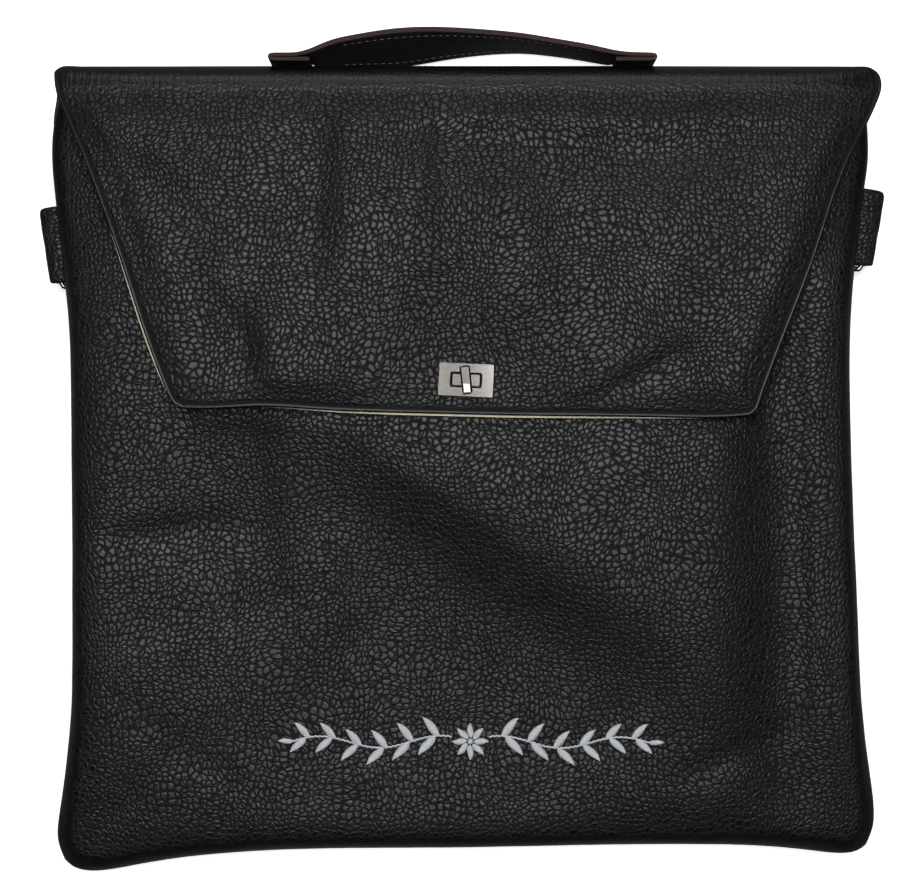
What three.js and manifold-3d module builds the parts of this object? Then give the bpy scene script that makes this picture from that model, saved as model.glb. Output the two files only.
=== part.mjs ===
// A flat pouch of black pebbled leather with a full-width fold-over flap, a turn lock, a carrying handle
// on the top fold and a ring in a leather tab at each side. Millimetres. It lies on its back:
// X runs across the bag, Y from its bottom seam to its handle, Z from the back it rests on to its front.
// The origin is on the outside of the back, in the middle of the face that the bag rests on.
import * as THREE from "three";
import { mergeVertices } from "three/addons/utils/BufferGeometryUtils.js";
import Module from "manifold-3d";

// The pouch
const bodyWidth = 356;
const bodyHeight = 340;
const mouthY = 164;
const leatherWall = 1.5;
const seamHeight = 12;
const frontCrown = 20;
const backRise = 52;
const reliefDepth = 5;

// The flap and its lining
const flapWall = 1.5;
const liningWall = 1;
const liningProud = 0.7;
const flapDrop = 144;
const flapWidth = 370;
const backSeamY = 150;
const foldReach = 13.6;
const foldCorner = 7;
const foldRounding = 0.28;
const flapRelief = 1.8;

// The handle
const strapWidth = 22;
const strapWall = 2.2;
const footWall = 1.7;
const handleLength = 175;
const handleRise = 11;
const handleTwist = 6;
const handleShift = -2;
const footLength = 17;

// The side tabs and their rings
const tabLength = 35;
const tabWall = 1.6;
const tabDroop = 24;
const ringWire = 2.6;
const ringDepth = 20;

// The turn lock
const lockX = -0.6;
const lockY = 35.4;
const plateWidth = 24;
const plateHeight = 14.4;
const plateThick = 1.6;
const plateTurn = -2.8;
const windowWidth = 14.2;
const windowHeight = 6.8;
const bossRecess = 0.5;
const buttonLength = 12.6;
const buttonWidth = 4.6;
const buttonThick = 3.2;
const buttonTurn = 6;
const neckRadius = 1.6;

// Clearances
const seamGap = 0.3;
const seatGap = 0.3;
const bearingGap = 0.25;
const windowGap = 0.5;
const ringGap = 0.35;
const rootGap = 1;
const drapeGap = 0.8;

const halfWidth = bodyWidth / 2;
const bottomY = mouthY - bodyHeight;
const foldY = mouthY + 1;
const crestY = foldY + foldReach;

// The side seams, from the bottom corners up to the mouth. Left and right are shares of half the body
// width, seam is the seam's height and crown the front's rise above it, as shares of their own sizes.
const sideRows = [
  { up: 0, left: 1.028, right: 1.021, seam: 0.66, crown: 1 },
  { up: 0.03, left: 1.05, right: 1.043, seam: 0.7, crown: 1 },
  { up: 0.08, left: 1.035, right: 1.035, seam: 0.8, crown: 1 },
  { up: 0.14, left: 1.019, right: 1.016, seam: 0.92, crown: 1 },
  { up: 0.2, left: 1.007, right: 1.004, seam: 1, crown: 1 },
  { up: 0.3, left: 1.005, right: 0.996, seam: 1, crown: 1 },
  { up: 0.42, left: 1.005, right: 0.986, seam: 1, crown: 1 },
  { up: 0.55, left: 1.007, right: 0.977, seam: 1, crown: 1 },
  { up: 0.67, left: 1.01, right: 0.975, seam: 1, crown: 0.98 },
  { up: 0.76, left: 1.018, right: 0.982, seam: 0.97, crown: 0.93 },
  { up: 0.86, left: 1.04, right: 1.007, seam: 0.87, crown: 0.83 },
  { up: 0.93, left: 1.056, right: 1.018, seam: 0.78, crown: 0.73 },
  { up: 0.985, left: 1.05, right: 1.017, seam: 0.71, crown: 0.68 },
  { up: 1, left: 1.038, right: 1.008, seam: 0.7, crown: 0.67 },
];

// The bottom seam from the left corner to the right. Drop is a share of the body height below the
// bottom line, seam a share of the seam height.
const bottomRows = [
  { across: 0, drop: 0.018, seam: 0.66 },
  { across: 0.012, drop: 0.029, seam: 0.66 },
  { across: 0.04, drop: 0.034, seam: 0.67 },
  { across: 0.065, drop: 0.03, seam: 0.7 },
  { across: 0.1, drop: 0.022, seam: 0.75 },
  { across: 0.145, drop: 0.014, seam: 0.8 },
  { across: 0.22, drop: 0.006, seam: 0.88 },
  { across: 0.3, drop: 0.002, seam: 0.9 },
  { across: 0.5, drop: 0, seam: 0.9 },
  { across: 0.7, drop: -0.004, seam: 0.9 },
  { across: 0.8, drop: -0.004, seam: 0.88 },
  { across: 0.866, drop: -0.002, seam: 0.8 },
  { across: 0.915, drop: 0.003, seam: 0.74 },
  { across: 0.95, drop: 0.008, seam: 0.7 },
  { across: 0.975, drop: 0.01, seam: 0.67 },
  { across: 0.99, drop: 0.006, seam: 0.66 },
  { across: 1, drop: -0.002, seam: 0.66 },
];

// The flap in front, from the fold down to its lower edge. Left and right are shares of half its width.
// Tan columns say how far the lining stands out there, as shares of its largest; below zero it is hidden.
const flapRows = [
  { down: 0, left: 0.99, right: 0.998, tanLeft: 0, tanRight: 0 },
  { down: 0.1, left: 0.963, right: 0.968, tanLeft: -0.6, tanRight: -0.6 },
  { down: 0.28, left: 0.905, right: 0.901, tanLeft: -0.6, tanRight: -0.6 },
  { down: 0.53, left: 0.832, right: 0.833, tanLeft: 0.6, tanRight: -0.6 },
  { down: 0.75, left: 0.776, right: 0.764, tanLeft: 1, tanRight: -0.6 },
  { down: 0.93, left: 0.724, right: 0.708, tanLeft: 0.7, tanRight: -0.6 },
  { down: 0.965, left: 0.713, right: 0.699, tanLeft: 0, tanRight: -0.6 },
  { down: 0.985, left: 0.702, right: 0.692, tanLeft: -0.6, tanRight: -0.6 },
  { down: 1, left: 0.68, right: 0.675, tanLeft: -0.6, tanRight: -0.6 },
];

// The flap's lower edge from left to right: how far it hangs below its line, as a share of the drop.
const flapEdgeRows = [
  { across: 0, sag: -0.012, tan: -0.6 },
  { across: 0.05, sag: -0.01, tan: -0.6 },
  { across: 0.14, sag: -0.018, tan: -0.3 },
  { across: 0.27, sag: -0.004, tan: 0.6 },
  { across: 0.45, sag: 0.004, tan: 1 },
  { across: 0.6, sag: 0.01, tan: 1 },
  { across: 0.8, sag: 0.014, tan: 0.6 },
  { across: 0.97, sag: 0.016, tan: -0.6 },
  { across: 1, sag: 0.01, tan: -0.6 },
];

// Folds of the front below the flap. X and y are places as shares of half the body's width and height
// from its middle, turn is the fold's direction in degrees from X, length and width are shares of
// the body width, and high is the height beside the fold as a share of the relief's depth. A step
// is high on one side and low on the other; a trough is low along its middle.
const bodyFolds = [
  { kind: "step", x: 0.03, y: -0.19, turn: -34, length: 0.42, width: 0.07, high: 0.8 },
  { kind: "trough", x: 0.83, y: -0.33, turn: 92, length: 0.5, width: 0.075, high: 1 },
  { kind: "trough", x: -0.74, y: -0.19, turn: 6, length: 0.2, width: 0.07, high: 0.4 },
  { kind: "trough", x: -0.4, y: -0.62, turn: 25, length: 0.22, width: 0.09, high: 0.35 },
  { kind: "trough", x: -0.12, y: -0.52, turn: 98, length: 0.16, width: 0.07, high: 0.4 },
];

// Folds of the flap, placed in the same way, with high as a share of the flap's relief.
const flapFolds = [
  { kind: "trough", x: -0.6, y: 0.72, turn: -24, length: 0.2, width: 0.05, high: 0.7 },
  { kind: "trough", x: -0.37, y: 0.72, turn: 88, length: 0.16, width: 0.045, high: 0.6 },
  { kind: "trough", x: -0.1, y: 0.78, turn: 92, length: 0.14, width: 0.05, high: 0.55 },
  { kind: "step", x: -0.62, y: 0.2, turn: 40, length: 0.16, width: 0.06, high: -0.5 },
  { kind: "trough", x: 0.47, y: 0.16, turn: 20, length: 0.14, width: 0.05, high: 0.7 },
  { kind: "trough", x: 0.18, y: 0.83, turn: -6, length: 0.2, width: 0.04, high: 0.5 },
];

// The handle's arch along its length: rise above its feet, and how far the strap's rear edge hangs lower.
const archRows = [
  { along: 0, rise: 0, twist: 0 },
  { along: 0.08, rise: 0.03, twist: 0.1 },
  { along: 0.16, rise: 0.5, twist: 0.7 },
  { along: 0.24, rise: 0.75, twist: 1 },
  { along: 0.31, rise: 0.92, twist: 1 },
  { along: 0.38, rise: 1, twist: 0.95 },
  { along: 0.46, rise: 0.99, twist: 0.7 },
  { along: 0.57, rise: 0.88, twist: 0.4 },
  { along: 0.66, rise: 0.74, twist: 0.25 },
  { along: 0.74, rise: 0.53, twist: 0.2 },
  { along: 0.82, rise: 0.32, twist: 0.18 },
  { along: 0.91, rise: 0.05, twist: 0.1 },
  { along: 1, rise: 0, twist: 0 },
];

// The tabs: their middle as a share of the body height above the bottom line, and how far they stand out.
const tabRows = [
  { name: "left", side: -1, up: 0.806, reach: 8.5 },
  { name: "right", side: 1, up: 0.83, reach: 9.6 },
];

// Where the grid lines of a panel lie, as shares of the way from an edge to the middle.
const edgeShares = [0, 0.004, 0.015, 0.035, 0.07, 0.12];
const frontShares = [...edgeShares, 0.2, 0.29, 0.38, 0.47, 0.56, 0.65, 0.74, 0.83, 0.92, 1];
const backShares = [...edgeShares, 0.2, 0.29, 0.47, 0.74, 1];
const heightShares = [0, 0.004, 0.012, 0.03, 0.06, 0.1, 0.15, 0.2, 0.25, 0.3, 0.35, 0.4, 0.45, 0.5, 0.55,
  0.6, 0.65, 0.7, 0.76, 0.82, 0.88, 0.94, 1];
const flapShares = [0, 0.012, 0.03, 0.08, 0.16, 0.26, 0.37, 0.48, 0.6, 0.73, 0.86, 1];
const dropShares = [0.07, 0.15, 0.24, 0.33, 0.43, 0.53, 0.63, 0.73, 0.83, 0.93, 0.965, 0.985, 1];
const foldSteps = 9;

const clamp = THREE.MathUtils.clamp;
const lerp = THREE.MathUtils.lerp;
const radians = THREE.MathUtils.degToRad;
const mirrored = (shares) => [
  ...shares.map((s) => s / 2),
  ...shares.slice(0, -1).reverse().map((s) => 1 - s / 2),
];

// A smooth curve through one column of a table, read at a place along its key column.
function read(rows, key, place, column) {
  const at = clamp(place, rows[0][key], rows[rows.length - 1][key]);
  const last = rows.length - 2;
  const i = Math.min(last, Math.max(0, rows.findIndex((row) => row[key] > at) - 1));
  const index = rows[rows.length - 1][key] <= at ? last : i;
  const [a, b] = [rows[index], rows[index + 1]];
  const slope = (p, q) => (q[column] - p[column]) / (q[key] - p[key]);
  const before = rows[Math.max(0, index - 1)];
  const after = rows[Math.min(rows.length - 1, index + 2)];
  const span = b[key] - a[key];
  const m0 = (before === a ? slope(a, b) : (slope(before, a) + slope(a, b)) / 2) * span;
  const m1 = (after === b ? slope(a, b) : (slope(a, b) + slope(b, after)) / 2) * span;
  const t = (at - a[key]) / span;
  const t2 = t * t;
  const t3 = t2 * t;
  return (2 * t3 - 3 * t2 + 1) * a[column] + (t3 - 2 * t2 + t) * m0
    + (3 * t2 - 2 * t3) * b[column] + (t3 - t2) * m1;
}

const leftX = (up) => -halfWidth * read(sideRows, "up", up, "left");
const rightX = (up) => halfWidth * read(sideRows, "up", up, "right");
const bottomAt = (across) => bottomY - bodyHeight * read(bottomRows, "across", across, "drop");

// The point of the pouch at a share across and a share up, and the shares of a given point.
function placeOn(across, up) {
  return { x: lerp(leftX(up), rightX(up), across), y: lerp(bottomAt(across), mouthY, up) };
}

function locate(x, y) {
  let across = 0.5;
  let up = 0.5;
  for (let i = 0; i < 6; i++) {
    const low = bottomAt(across);
    up = clamp((y - low) / (mouthY - low), 0, 1);
    across = clamp((x - leftX(up)) / (rightX(up) - leftX(up)), 0, 1);
  }
  return { across, up };
}

// The seam's height above the resting face.
function seamZ(across, up) {
  const side = THREE.MathUtils.smoothstep(up, 0, 0.16);
  const low = read(bottomRows, "across", across, "seam");
  return seamHeight * lerp(low, read(sideRows, "up", up, "seam"), side);
}

// How far a filled panel has risen at a share of the way from its seam to its middle.
const puff = (share) => (1 - (1 - clamp(share, 0, 1)) ** 4) ** 0.46;

// A fold's height at a point, and the sum of a table of folds.
function foldHeight(fold, x, y) {
  const turn = radians(fold.turn);
  const dx = x - fold.x * halfWidth;
  const dy = y - (mouthY + bottomY) / 2 - (fold.y * bodyHeight) / 2;
  const along = (dx * Math.cos(turn) + dy * Math.sin(turn)) / (fold.length * bodyWidth);
  const aside = (dy * Math.cos(turn) - dx * Math.sin(turn)) / (fold.width * bodyWidth);
  const fade = Math.exp(-((along * 1.4) ** 4));
  const shape = fold.kind === "step"
    ? Math.tanh(aside * 1.6) * Math.exp(-((aside / 2.6) ** 2))
    : -Math.exp(-(aside ** 2));
  return fold.high * shape * fade;
}

const foldSum = (folds, x, y) => folds.reduce((sum, fold) => sum + foldHeight(fold, x, y), 0);

// The outside of the front without its folds, level where the lock is riveted on.
function smoothFrontZ(x, y) {
  const { across, up } = locate(x, y);
  const side = puff(1 - Math.abs(2 * across - 1));
  const rise = frontCrown * read(sideRows, "up", up, "crown") * side * puff(up / 0.75);
  return seamZ(across, up) + seamGap / 2 + leatherWall + rise;
}

const lockSeatZ = smoothFrontZ(lockX, lockY);
const lockFlat = (x, y) =>
  1 - THREE.MathUtils.smoothstep(Math.hypot(x - lockX, y - lockY), plateWidth * 0.7, plateWidth * 1.6);
const levelFrontZ = (x, y) => lerp(smoothFrontZ(x, y), lockSeatZ, lockFlat(x, y));

// The outside of the front with its folds. Under the flap nothing rises, and hollows fade out.
const flapLowY = foldY - flapDrop;
function frontZ(x, y) {
  const { across, up } = locate(x, y);
  const edge = Math.min(1 - Math.abs(2 * across - 1), up * 1.4);
  const inside = THREE.MathUtils.smoothstep(edge, 0.04, 0.2) * (1 - lockFlat(x, y));
  const folds = foldSum(bodyFolds, x, y);
  const reach = folds > 0 ? [flapLowY - 22, flapLowY - 3] : [flapLowY, flapLowY + 40];
  const open = 1 - THREE.MathUtils.smoothstep(y, ...reach);
  return levelFrontZ(x, y) + reliefDepth * inside * open * folds;
}

// The outside of the back: flat where it rests, and rising to the seams.
function backZ(x, y) {
  const { across, up } = locate(x, y);
  const fromSide = Math.min(x - leftX(up), rightX(up) - x);
  const fromBottom = y - bottomAt(across);
  const rise = (distance) => Math.max(0, 1 - Math.max(0, distance) / backRise) ** 2;
  const lifted = 1 - (1 - rise(fromSide)) * (1 - rise(fromBottom));
  return (seamZ(across, up) - seamGap / 2 - leatherWall) * lifted;
}

// The outside of the flap in front. It bridges the pouch's falling shoulders and keeps clear of the front.
const flapSpan = 0.35;
const flapStack = drapeGap + liningWall + seatGap + flapWall;
function flapZ(x, y) {
  const { up } = locate(x, y);
  const middle = placeOn(0.5, up);
  const falls = Math.max(0, smoothFrontZ(middle.x, middle.y) - smoothFrontZ(x, y));
  const folds = 1 + foldSum(flapFolds, x, y);
  const nearFold = THREE.MathUtils.smoothstep(foldY - y, 0, 30);
  const loose = flapRelief * Math.max(0, folds) * nearFold * (1 - lockFlat(x, y));
  return levelFrontZ(x, y) + flapStack + flapSpan * falls + loose;
}

// Moves each point of a grid along the grid's normal. Edge points can keep a fixed direction.
function offset(grid, distance, edgeNormal) {
  const rows = grid.length;
  const columns = grid[0].length;
  const a = new THREE.Vector3();
  const b = new THREE.Vector3();
  return grid.map((row, j) => row.map((point, i) => {
    const onEdge = j === 0 || i === 0 || j === rows - 1 || i === columns - 1;
    if (edgeNormal && onEdge && edgeNormal(j, i)) return point.clone().addScaledVector(edgeNormal(j, i), distance);
    a.subVectors(grid[j][Math.min(columns - 1, i + 1)], grid[j][Math.max(0, i - 1)]);
    b.subVectors(grid[Math.min(rows - 1, j + 1)][i], grid[Math.max(0, j - 1)][i]);
    return point.clone().addScaledVector(a.cross(b).normalize(), distance);
  }));
}

// A closed sheet between two matching grids of points. Columns run to the right and rows away from the
// viewer's feet, as the upper grid is seen from outside.
function sheet(upper, lower) {
  const rows = upper.length;
  const columns = upper[0].length;
  const positions = [...upper.flat(), ...lower.flat()].flatMap((p) => [p.x, p.y, p.z]);
  const top = (j, i) => j * columns + i;
  const under = (j, i) => rows * columns + top(j, i);
  const index = [];
  const quad = (a, b, c, d) => index.push(a, b, c, a, c, d);
  for (let j = 0; j < rows - 1; j++) {
    for (let i = 0; i < columns - 1; i++) {
      quad(top(j, i), top(j, i + 1), top(j + 1, i + 1), top(j + 1, i));
      quad(under(j, i), under(j + 1, i), under(j + 1, i + 1), under(j, i + 1));
    }
    quad(top(j, 0), top(j + 1, 0), under(j + 1, 0), under(j, 0));
    quad(top(j + 1, columns - 1), top(j, columns - 1), under(j, columns - 1), under(j + 1, columns - 1));
  }
  for (let i = 0; i < columns - 1; i++) {
    quad(top(0, i + 1), top(0, i), under(0, i), under(0, i + 1));
    quad(top(rows - 1, i), top(rows - 1, i + 1), under(rows - 1, i + 1), under(rows - 1, i));
  }
  const geometry = new THREE.BufferGeometry();
  geometry.setAttribute("position", new THREE.Float32BufferAttribute(positions, 3));
  geometry.setIndex(index);
  return geometry;
}

// Joins and cuts of closed geometries.
const wasm = await Module();
wasm.setup();

function solid(geometry) {
  const bare = geometry.clone();
  bare.deleteAttribute("normal");
  bare.deleteAttribute("uv");
  const merged = mergeVertices(bare, 1e-4);
  return new wasm.Manifold(new wasm.Mesh({
    numProp: 3,
    vertProperties: new Float32Array(merged.attributes.position.array),
    triVerts: new Uint32Array(merged.index.array),
  }));
}

function geometryOf(manifold) {
  const mesh = manifold.getMesh();
  const geometry = new THREE.BufferGeometry();
  geometry.setAttribute("position", new THREE.BufferAttribute(mesh.vertProperties, 3));
  geometry.setIndex(new THREE.BufferAttribute(mesh.triVerts, 1));
  return geometry;
}

const leather = new THREE.MeshStandardMaterial({ color: 0x1b1b1c, roughness: 0.5, metalness: 0 });
const strapLeather = new THREE.MeshStandardMaterial({ color: 0x171516, roughness: 0.55, metalness: 0 });
const liningHide = new THREE.MeshStandardMaterial({ color: 0xb9a98b, roughness: 0.9, metalness: 0 });
const nickel = new THREE.MeshStandardMaterial({ color: 0xb9b3a8, roughness: 0.3, metalness: 1 });

const bag = new THREE.Group();

function add(name, geometry, material, parent = bag) {
  const mesh = new THREE.Mesh(geometry, material);
  mesh.name = name;
  parent.add(mesh);
  return mesh;
}

const upward = new THREE.Vector3(0, 0, 1);
const onSeam = (columns) => (j, i) => (j === 0 || i === 0 || i === columns - 1 ? upward : null);

// The front panel: leather from the bottom and side seams to the open mouth.
function frontPanel() {
  const across = mirrored(frontShares);
  const outside = heightShares.map((up) => across.map((share) => {
    const { x, y } = placeOn(share, up);
    return new THREE.Vector3(x, y, frontZ(x, y));
  }));
  return sheet(outside, offset(outside, -leatherWall, onSeam(across.length)));
}

// The back panel: the same outline, up to the seam that joins the flap to it across the back.
function backPanel() {
  const across = mirrored(backShares);
  const seamUp = (share) => (backSeamY - seamGap / 2 - bottomAt(share)) / (mouthY - bottomAt(share));
  const lowRows = heightShares.filter((up) => up < seamUp(0.5) - 0.02);
  const outside = [...lowRows, null].map((up) => across.map((share) => {
    const { x, y } = placeOn(share, up ?? seamUp(share));
    return new THREE.Vector3(x, y, backZ(x, y));
  }));
  return sheet(offset(outside, leatherWall, onSeam(across.length)), outside);
}

// The rows of the flap's outside, from the seam across the back, round the top fold, to the lower edge.
// The lining starts at the fold, and its edges follow the tan columns.
function flapOutside(isLining) {
  const across = mirrored(flapShares);
  const proud = isLining ? liningProud : 0;
  const rows = [];
  const row = (left, right, point) => {
    const reach = (x) => Math.max(0, 1 - Math.min(x - left, right - x) / foldCorner) ** 2;
    rows.push(across.map((share) => {
      const x = lerp(left, right, share);
      return point(x, share, reach(x));
    }));
  };
  const backRows = isLining ? [] : [backSeamY + seamGap / 2, (backSeamY + foldY) / 2];
  backRows.forEach((y) => {
    const up = (y - bottomY) / bodyHeight;
    row(leftX(up), rightX(up), (x) => new THREE.Vector3(x, y, backZ(x, y)));
  });
  const turnLeft = -(flapWidth / 2) * flapRows[0].left;
  const turnRight = (flapWidth / 2) * flapRows[0].right;
  for (let step = isLining ? 1 : 0; step <= foldSteps; step++) {
    const turn = (Math.PI * step) / foldSteps;
    const open = 0.5 - 0.5 * Math.cos(turn);
    const wider = 1.5 * Math.sin(turn);
    const left = lerp(leftX(1), turnLeft, open) - wider;
    const right = lerp(rightX(1), turnRight, open) + wider;
    row(left, right, (x, share, corner) => {
      const reach = foldReach * (1 - foldRounding * corner);
      const z = lerp(backZ(x, foldY), flapZ(x, foldY), open);
      return new THREE.Vector3(x, foldY + reach * Math.sin(turn), z);
    });
  }
  dropShares.forEach((down) => {
    const side = (shape, tan) => (flapWidth / 2) * read(flapRows, "down", down, shape)
      + proud * read(flapRows, "down", down, tan);
    row(-side("left", "tanLeft"), side("right", "tanRight"), (x, share) => {
      const sag = read(flapEdgeRows, "across", share, "sag") * flapDrop;
      const tan = proud * read(flapEdgeRows, "across", share, "tan");
      const y = foldY - flapDrop * down - (sag + tan) * down ** 6;
      return new THREE.Vector3(x, y, flapZ(x, y));
    });
  });
  return rows;
}

// Turned rows face outwards once their order across is reversed.
const reversed = (grid) => grid.map((row) => [...row].reverse());

const plateFrame = new THREE.Matrix4()
  .makeRotationZ(radians(plateTurn))
  .setPosition(lockX, lockY, 0);

// The window through the flap and its lining, under the one in the lock's plate.
function windowCutter() {
  const cutter = new THREE.BoxGeometry(windowWidth, windowHeight, 40);
  cutter.applyMatrix4(plateFrame);
  cutter.translate(0, 0, lockSeatZ);
  return solid(cutter);
}

function flapLeather() {
  const outside = reversed(flapOutside(false));
  return geometryOf(solid(sheet(outside, offset(outside, -flapWall))).subtract(windowCutter()));
}

function flapLining() {
  const outside = reversed(flapOutside(true));
  const upper = offset(outside, -flapWall - seatGap);
  const lower = offset(outside, -flapWall - seatGap - liningWall);
  return geometryOf(solid(sheet(upper, lower)).subtract(windowCutter()));
}

// The handle: one strap whose ends are folded under and sewn to the top fold, arched between them.
function handleStrap() {
  const lowY = crestY + seatGap + footWall / 2;
  const highY = lowY + footWall + seatGap;
  const bend = (highY - lowY) / 2;
  const half = handleLength / 2 - bend - footWall / 2;
  const middleZ = (backZ(0, foldY) + flapZ(0, foldY)) / 2;
  const line = [];
  const add = (x, y, wall, twist) => line.push({ x, y, wall, twist });
  const foot = (side) => {
    const steps = [0, 0.5, 1].map((s) => [side * (half - footLength * (1 - s)), lowY]);
    const turns = [1, 2, 3, 4].map((k) => {
      const turn = (Math.PI * k) / 4;
      return [side * (half + bend * Math.sin(turn)), lowY + bend * (1 - Math.cos(turn))];
    });
    return [...steps, ...turns];
  };
  foot(-1).forEach(([x, y]) => add(x, y, footWall, 0));
  const archSteps = 30;
  for (let step = 1; step < archSteps; step++) {
    const along = step / archSteps;
    const rise = read(archRows, "along", along, "rise");
    const thick = THREE.MathUtils.smoothstep(Math.min(along, 1 - along), 0.07, 0.15);
    const wall = lerp(footWall, strapWall, thick);
    const lift = (wall - footWall) / 2;
    const twist = Math.max(0, read(archRows, "along", along, "twist"));
    add(lerp(-half, half, along), highY + lift + handleRise * Math.max(0, rise), wall, twist * handleTwist);
  }
  foot(1).reverse().forEach(([x, y]) => add(x, y, footWall, 0));
  const outer = [];
  const inner = [];
  line.forEach((point, k) => {
    const before = line[Math.max(0, k - 1)];
    const after = line[Math.min(line.length - 1, k + 1)];
    const normal = new THREE.Vector2(-(after.y - before.y), after.x - before.x).normalize();
    const at = (side, z, drop) => new THREE.Vector3(
      handleShift + point.x + (side * normal.x * point.wall) / 2,
      point.y - drop + (side * normal.y * point.wall) / 2,
      middleZ + z,
    );
    const edges = [strapWidth / 2, -strapWidth / 2];
    const drops = [0, point.twist];
    outer.push(edges.map((z, e) => at(1, z, drops[e])));
    inner.push(edges.map((z, e) => at(-1, z, drops[e])));
  });
  return sheet(inner, outer);
}

// A closed loop of round wire through points in a plane, mitred at each point.
function wireLoop(points, planeNormal, radius, sides) {
  const count = points.length;
  const positions = [];
  const index = [];
  points.forEach((point, k) => {
    const before = points[(k + count - 1) % count];
    const after = points[(k + 1) % count];
    const arriving = new THREE.Vector3().subVectors(point, before).normalize();
    const leaving = new THREE.Vector3().subVectors(after, point).normalize();
    const along = new THREE.Vector3().addVectors(arriving, leaving).normalize();
    const aside = new THREE.Vector3().crossVectors(planeNormal, along);
    const mitre = 1 / Math.max(0.5, arriving.dot(along));
    for (let s = 0; s < sides; s++) {
      const turn = (2 * Math.PI * s) / sides;
      const p = point.clone()
        .addScaledVector(aside, radius * mitre * Math.cos(turn))
        .addScaledVector(planeNormal, radius * Math.sin(turn));
      positions.push(p.x, p.y, p.z);
      const next = (s + 1) % sides;
      const ahead = ((k + 1) % count) * sides;
      const here = k * sides;
      index.push(here + s, here + next, ahead + next, here + s, ahead + next, ahead + s);
    }
  });
  const geometry = new THREE.BufferGeometry();
  geometry.setAttribute("position", new THREE.Float32BufferAttribute(positions, 3));
  geometry.setIndex(index);
  return geometry;
}

// A tab's section: leather folded round the ring's bar, its two layers meeting at the bag's side seam.
function tabSection(barX, barRadius) {
  const hole = barRadius + ringGap;
  const outer = hole + tabWall;
  const shape = new THREE.Shape();
  shape.moveTo(0, seamGap / 2);
  shape.lineTo(0, seamGap / 2 + tabWall);
  shape.lineTo(barX, outer);
  shape.absarc(barX, 0, outer, Math.PI / 2, -Math.PI / 2, true);
  shape.lineTo(0, -seamGap / 2 - tabWall);
  shape.lineTo(0, -seamGap / 2);
  shape.lineTo(barX, -hole);
  shape.absarc(barX, 0, hole, -Math.PI / 2, Math.PI / 2, false);
  shape.lineTo(0, seamGap / 2);
  return shape;
}

// Each tab stands on the side seam with the ring's bar in its fold, and the ring lies folded behind the bag.
// In the tab's own frame x points away from the bag, y along the seam and z to the front. The upper end of
// the loop is cut away behind its front layer, so that layer hides the ring's upper corner.
function addTabAndRing({ name, side, up, reach }) {
  const rise = tabLength / 2 / bodyHeight;
  const edge = (share) => {
    const y = bottomY + share * bodyHeight;
    const { up: seamUp } = locate(side * bodyWidth, y);
    return new THREE.Vector2(side < 0 ? leftX(seamUp) : rightX(seamUp), y);
  };
  const low = edge(up - rise);
  const high = edge(up + rise);
  const along = high.clone().sub(low).normalize();
  const middle = low.clone().add(high).multiplyScalar(0.5);
  const away = new THREE.Vector2(along.y * side, -along.x * side);
  const { across, up: seamUp } = locate(middle.x, middle.y);
  const droop = radians(tabDroop);
  const outward = new THREE.Vector3(away.x * Math.cos(droop), away.y * Math.cos(droop), -Math.sin(droop));
  const forward = new THREE.Vector3(away.x * Math.sin(droop), away.y * Math.sin(droop), Math.cos(droop));
  const root = new THREE.Vector3(middle.x, middle.y, seamZ(across, seamUp)).addScaledVector(outward, rootGap);
  const frame = new THREE.Group();
  frame.matrixAutoUpdate = false;
  frame.matrix.makeBasis(outward, new THREE.Vector3(along.x, along.y, 0), forward).setPosition(root);
  bag.add(frame);
  const wire = ringWire / 2;
  const barX = reach - rootGap - wire - ringGap - tabWall;
  const tab = new THREE.ExtrudeGeometry(tabSection(barX, wire), {
    depth: tabLength, bevelEnabled: false, curveSegments: 10,
  });
  tab.rotateX(Math.PI / 2);
  tab.translate(0, tabLength / 2, 0);
  const notchDepth = ringWire + 2 * ringGap;
  const notch = new THREE.BoxGeometry(4 * reach, 2 * notchDepth, 2 * reach);
  notch.translate(0, tabLength / 2, wire + ringGap - reach);
  add(`side_tab_${name}`, geometryOf(solid(tab).subtract(solid(notch))), strapLeather, frame);

  const barZ = root.z - barX * Math.sin(droop);
  const tilt = Math.asin((barZ - wire - seatGap) / ringDepth) + droop;
  const highBar = tabLength / 2 - notchDepth + ringGap + wire;
  const lowBar = -tabLength / 2 - ringGap - wire;
  const halfBar = (highBar - lowBar) / 2;
  const inward = new THREE.Vector3(-Math.cos(tilt), 0, -Math.sin(tilt));
  const planeNormal = new THREE.Vector3(-Math.sin(tilt), 0, Math.cos(tilt));
  const bar = new THREE.Vector3(barX, (highBar + lowBar) / 2, 0);
  const bowSteps = 22;
  const points = [];
  for (let step = 0; step <= bowSteps; step++) {
    const turn = (Math.PI * step) / bowSteps;
    const y = halfBar * Math.sign(Math.cos(turn)) * Math.abs(Math.cos(turn)) ** 0.75;
    const depth = ringDepth * Math.sin(turn) ** 0.9;
    points.push(bar.clone().addScaledVector(inward, depth).add(new THREE.Vector3(0, -y, 0)));
  }
  add(`d_ring_${name}`, wireLoop(points, planeNormal, wire, 6), nickel, frame);
}

function roundedRectangle(path, width, height, radius) {
  const [x, y] = [width / 2, height / 2];
  path.moveTo(-x + radius, -y);
  path.lineTo(x - radius, -y);
  path.absarc(x - radius, -y + radius, radius, -Math.PI / 2, 0, false);
  path.lineTo(x, y - radius);
  path.absarc(x - radius, y - radius, radius, 0, Math.PI / 2, false);
  path.lineTo(-x + radius, y);
  path.absarc(-x + radius, y - radius, radius, Math.PI / 2, Math.PI, false);
  path.lineTo(-x, -y + radius);
  path.absarc(-x + radius, -y + radius, radius, Math.PI, Math.PI * 1.5, false);
  return path;
}

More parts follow.
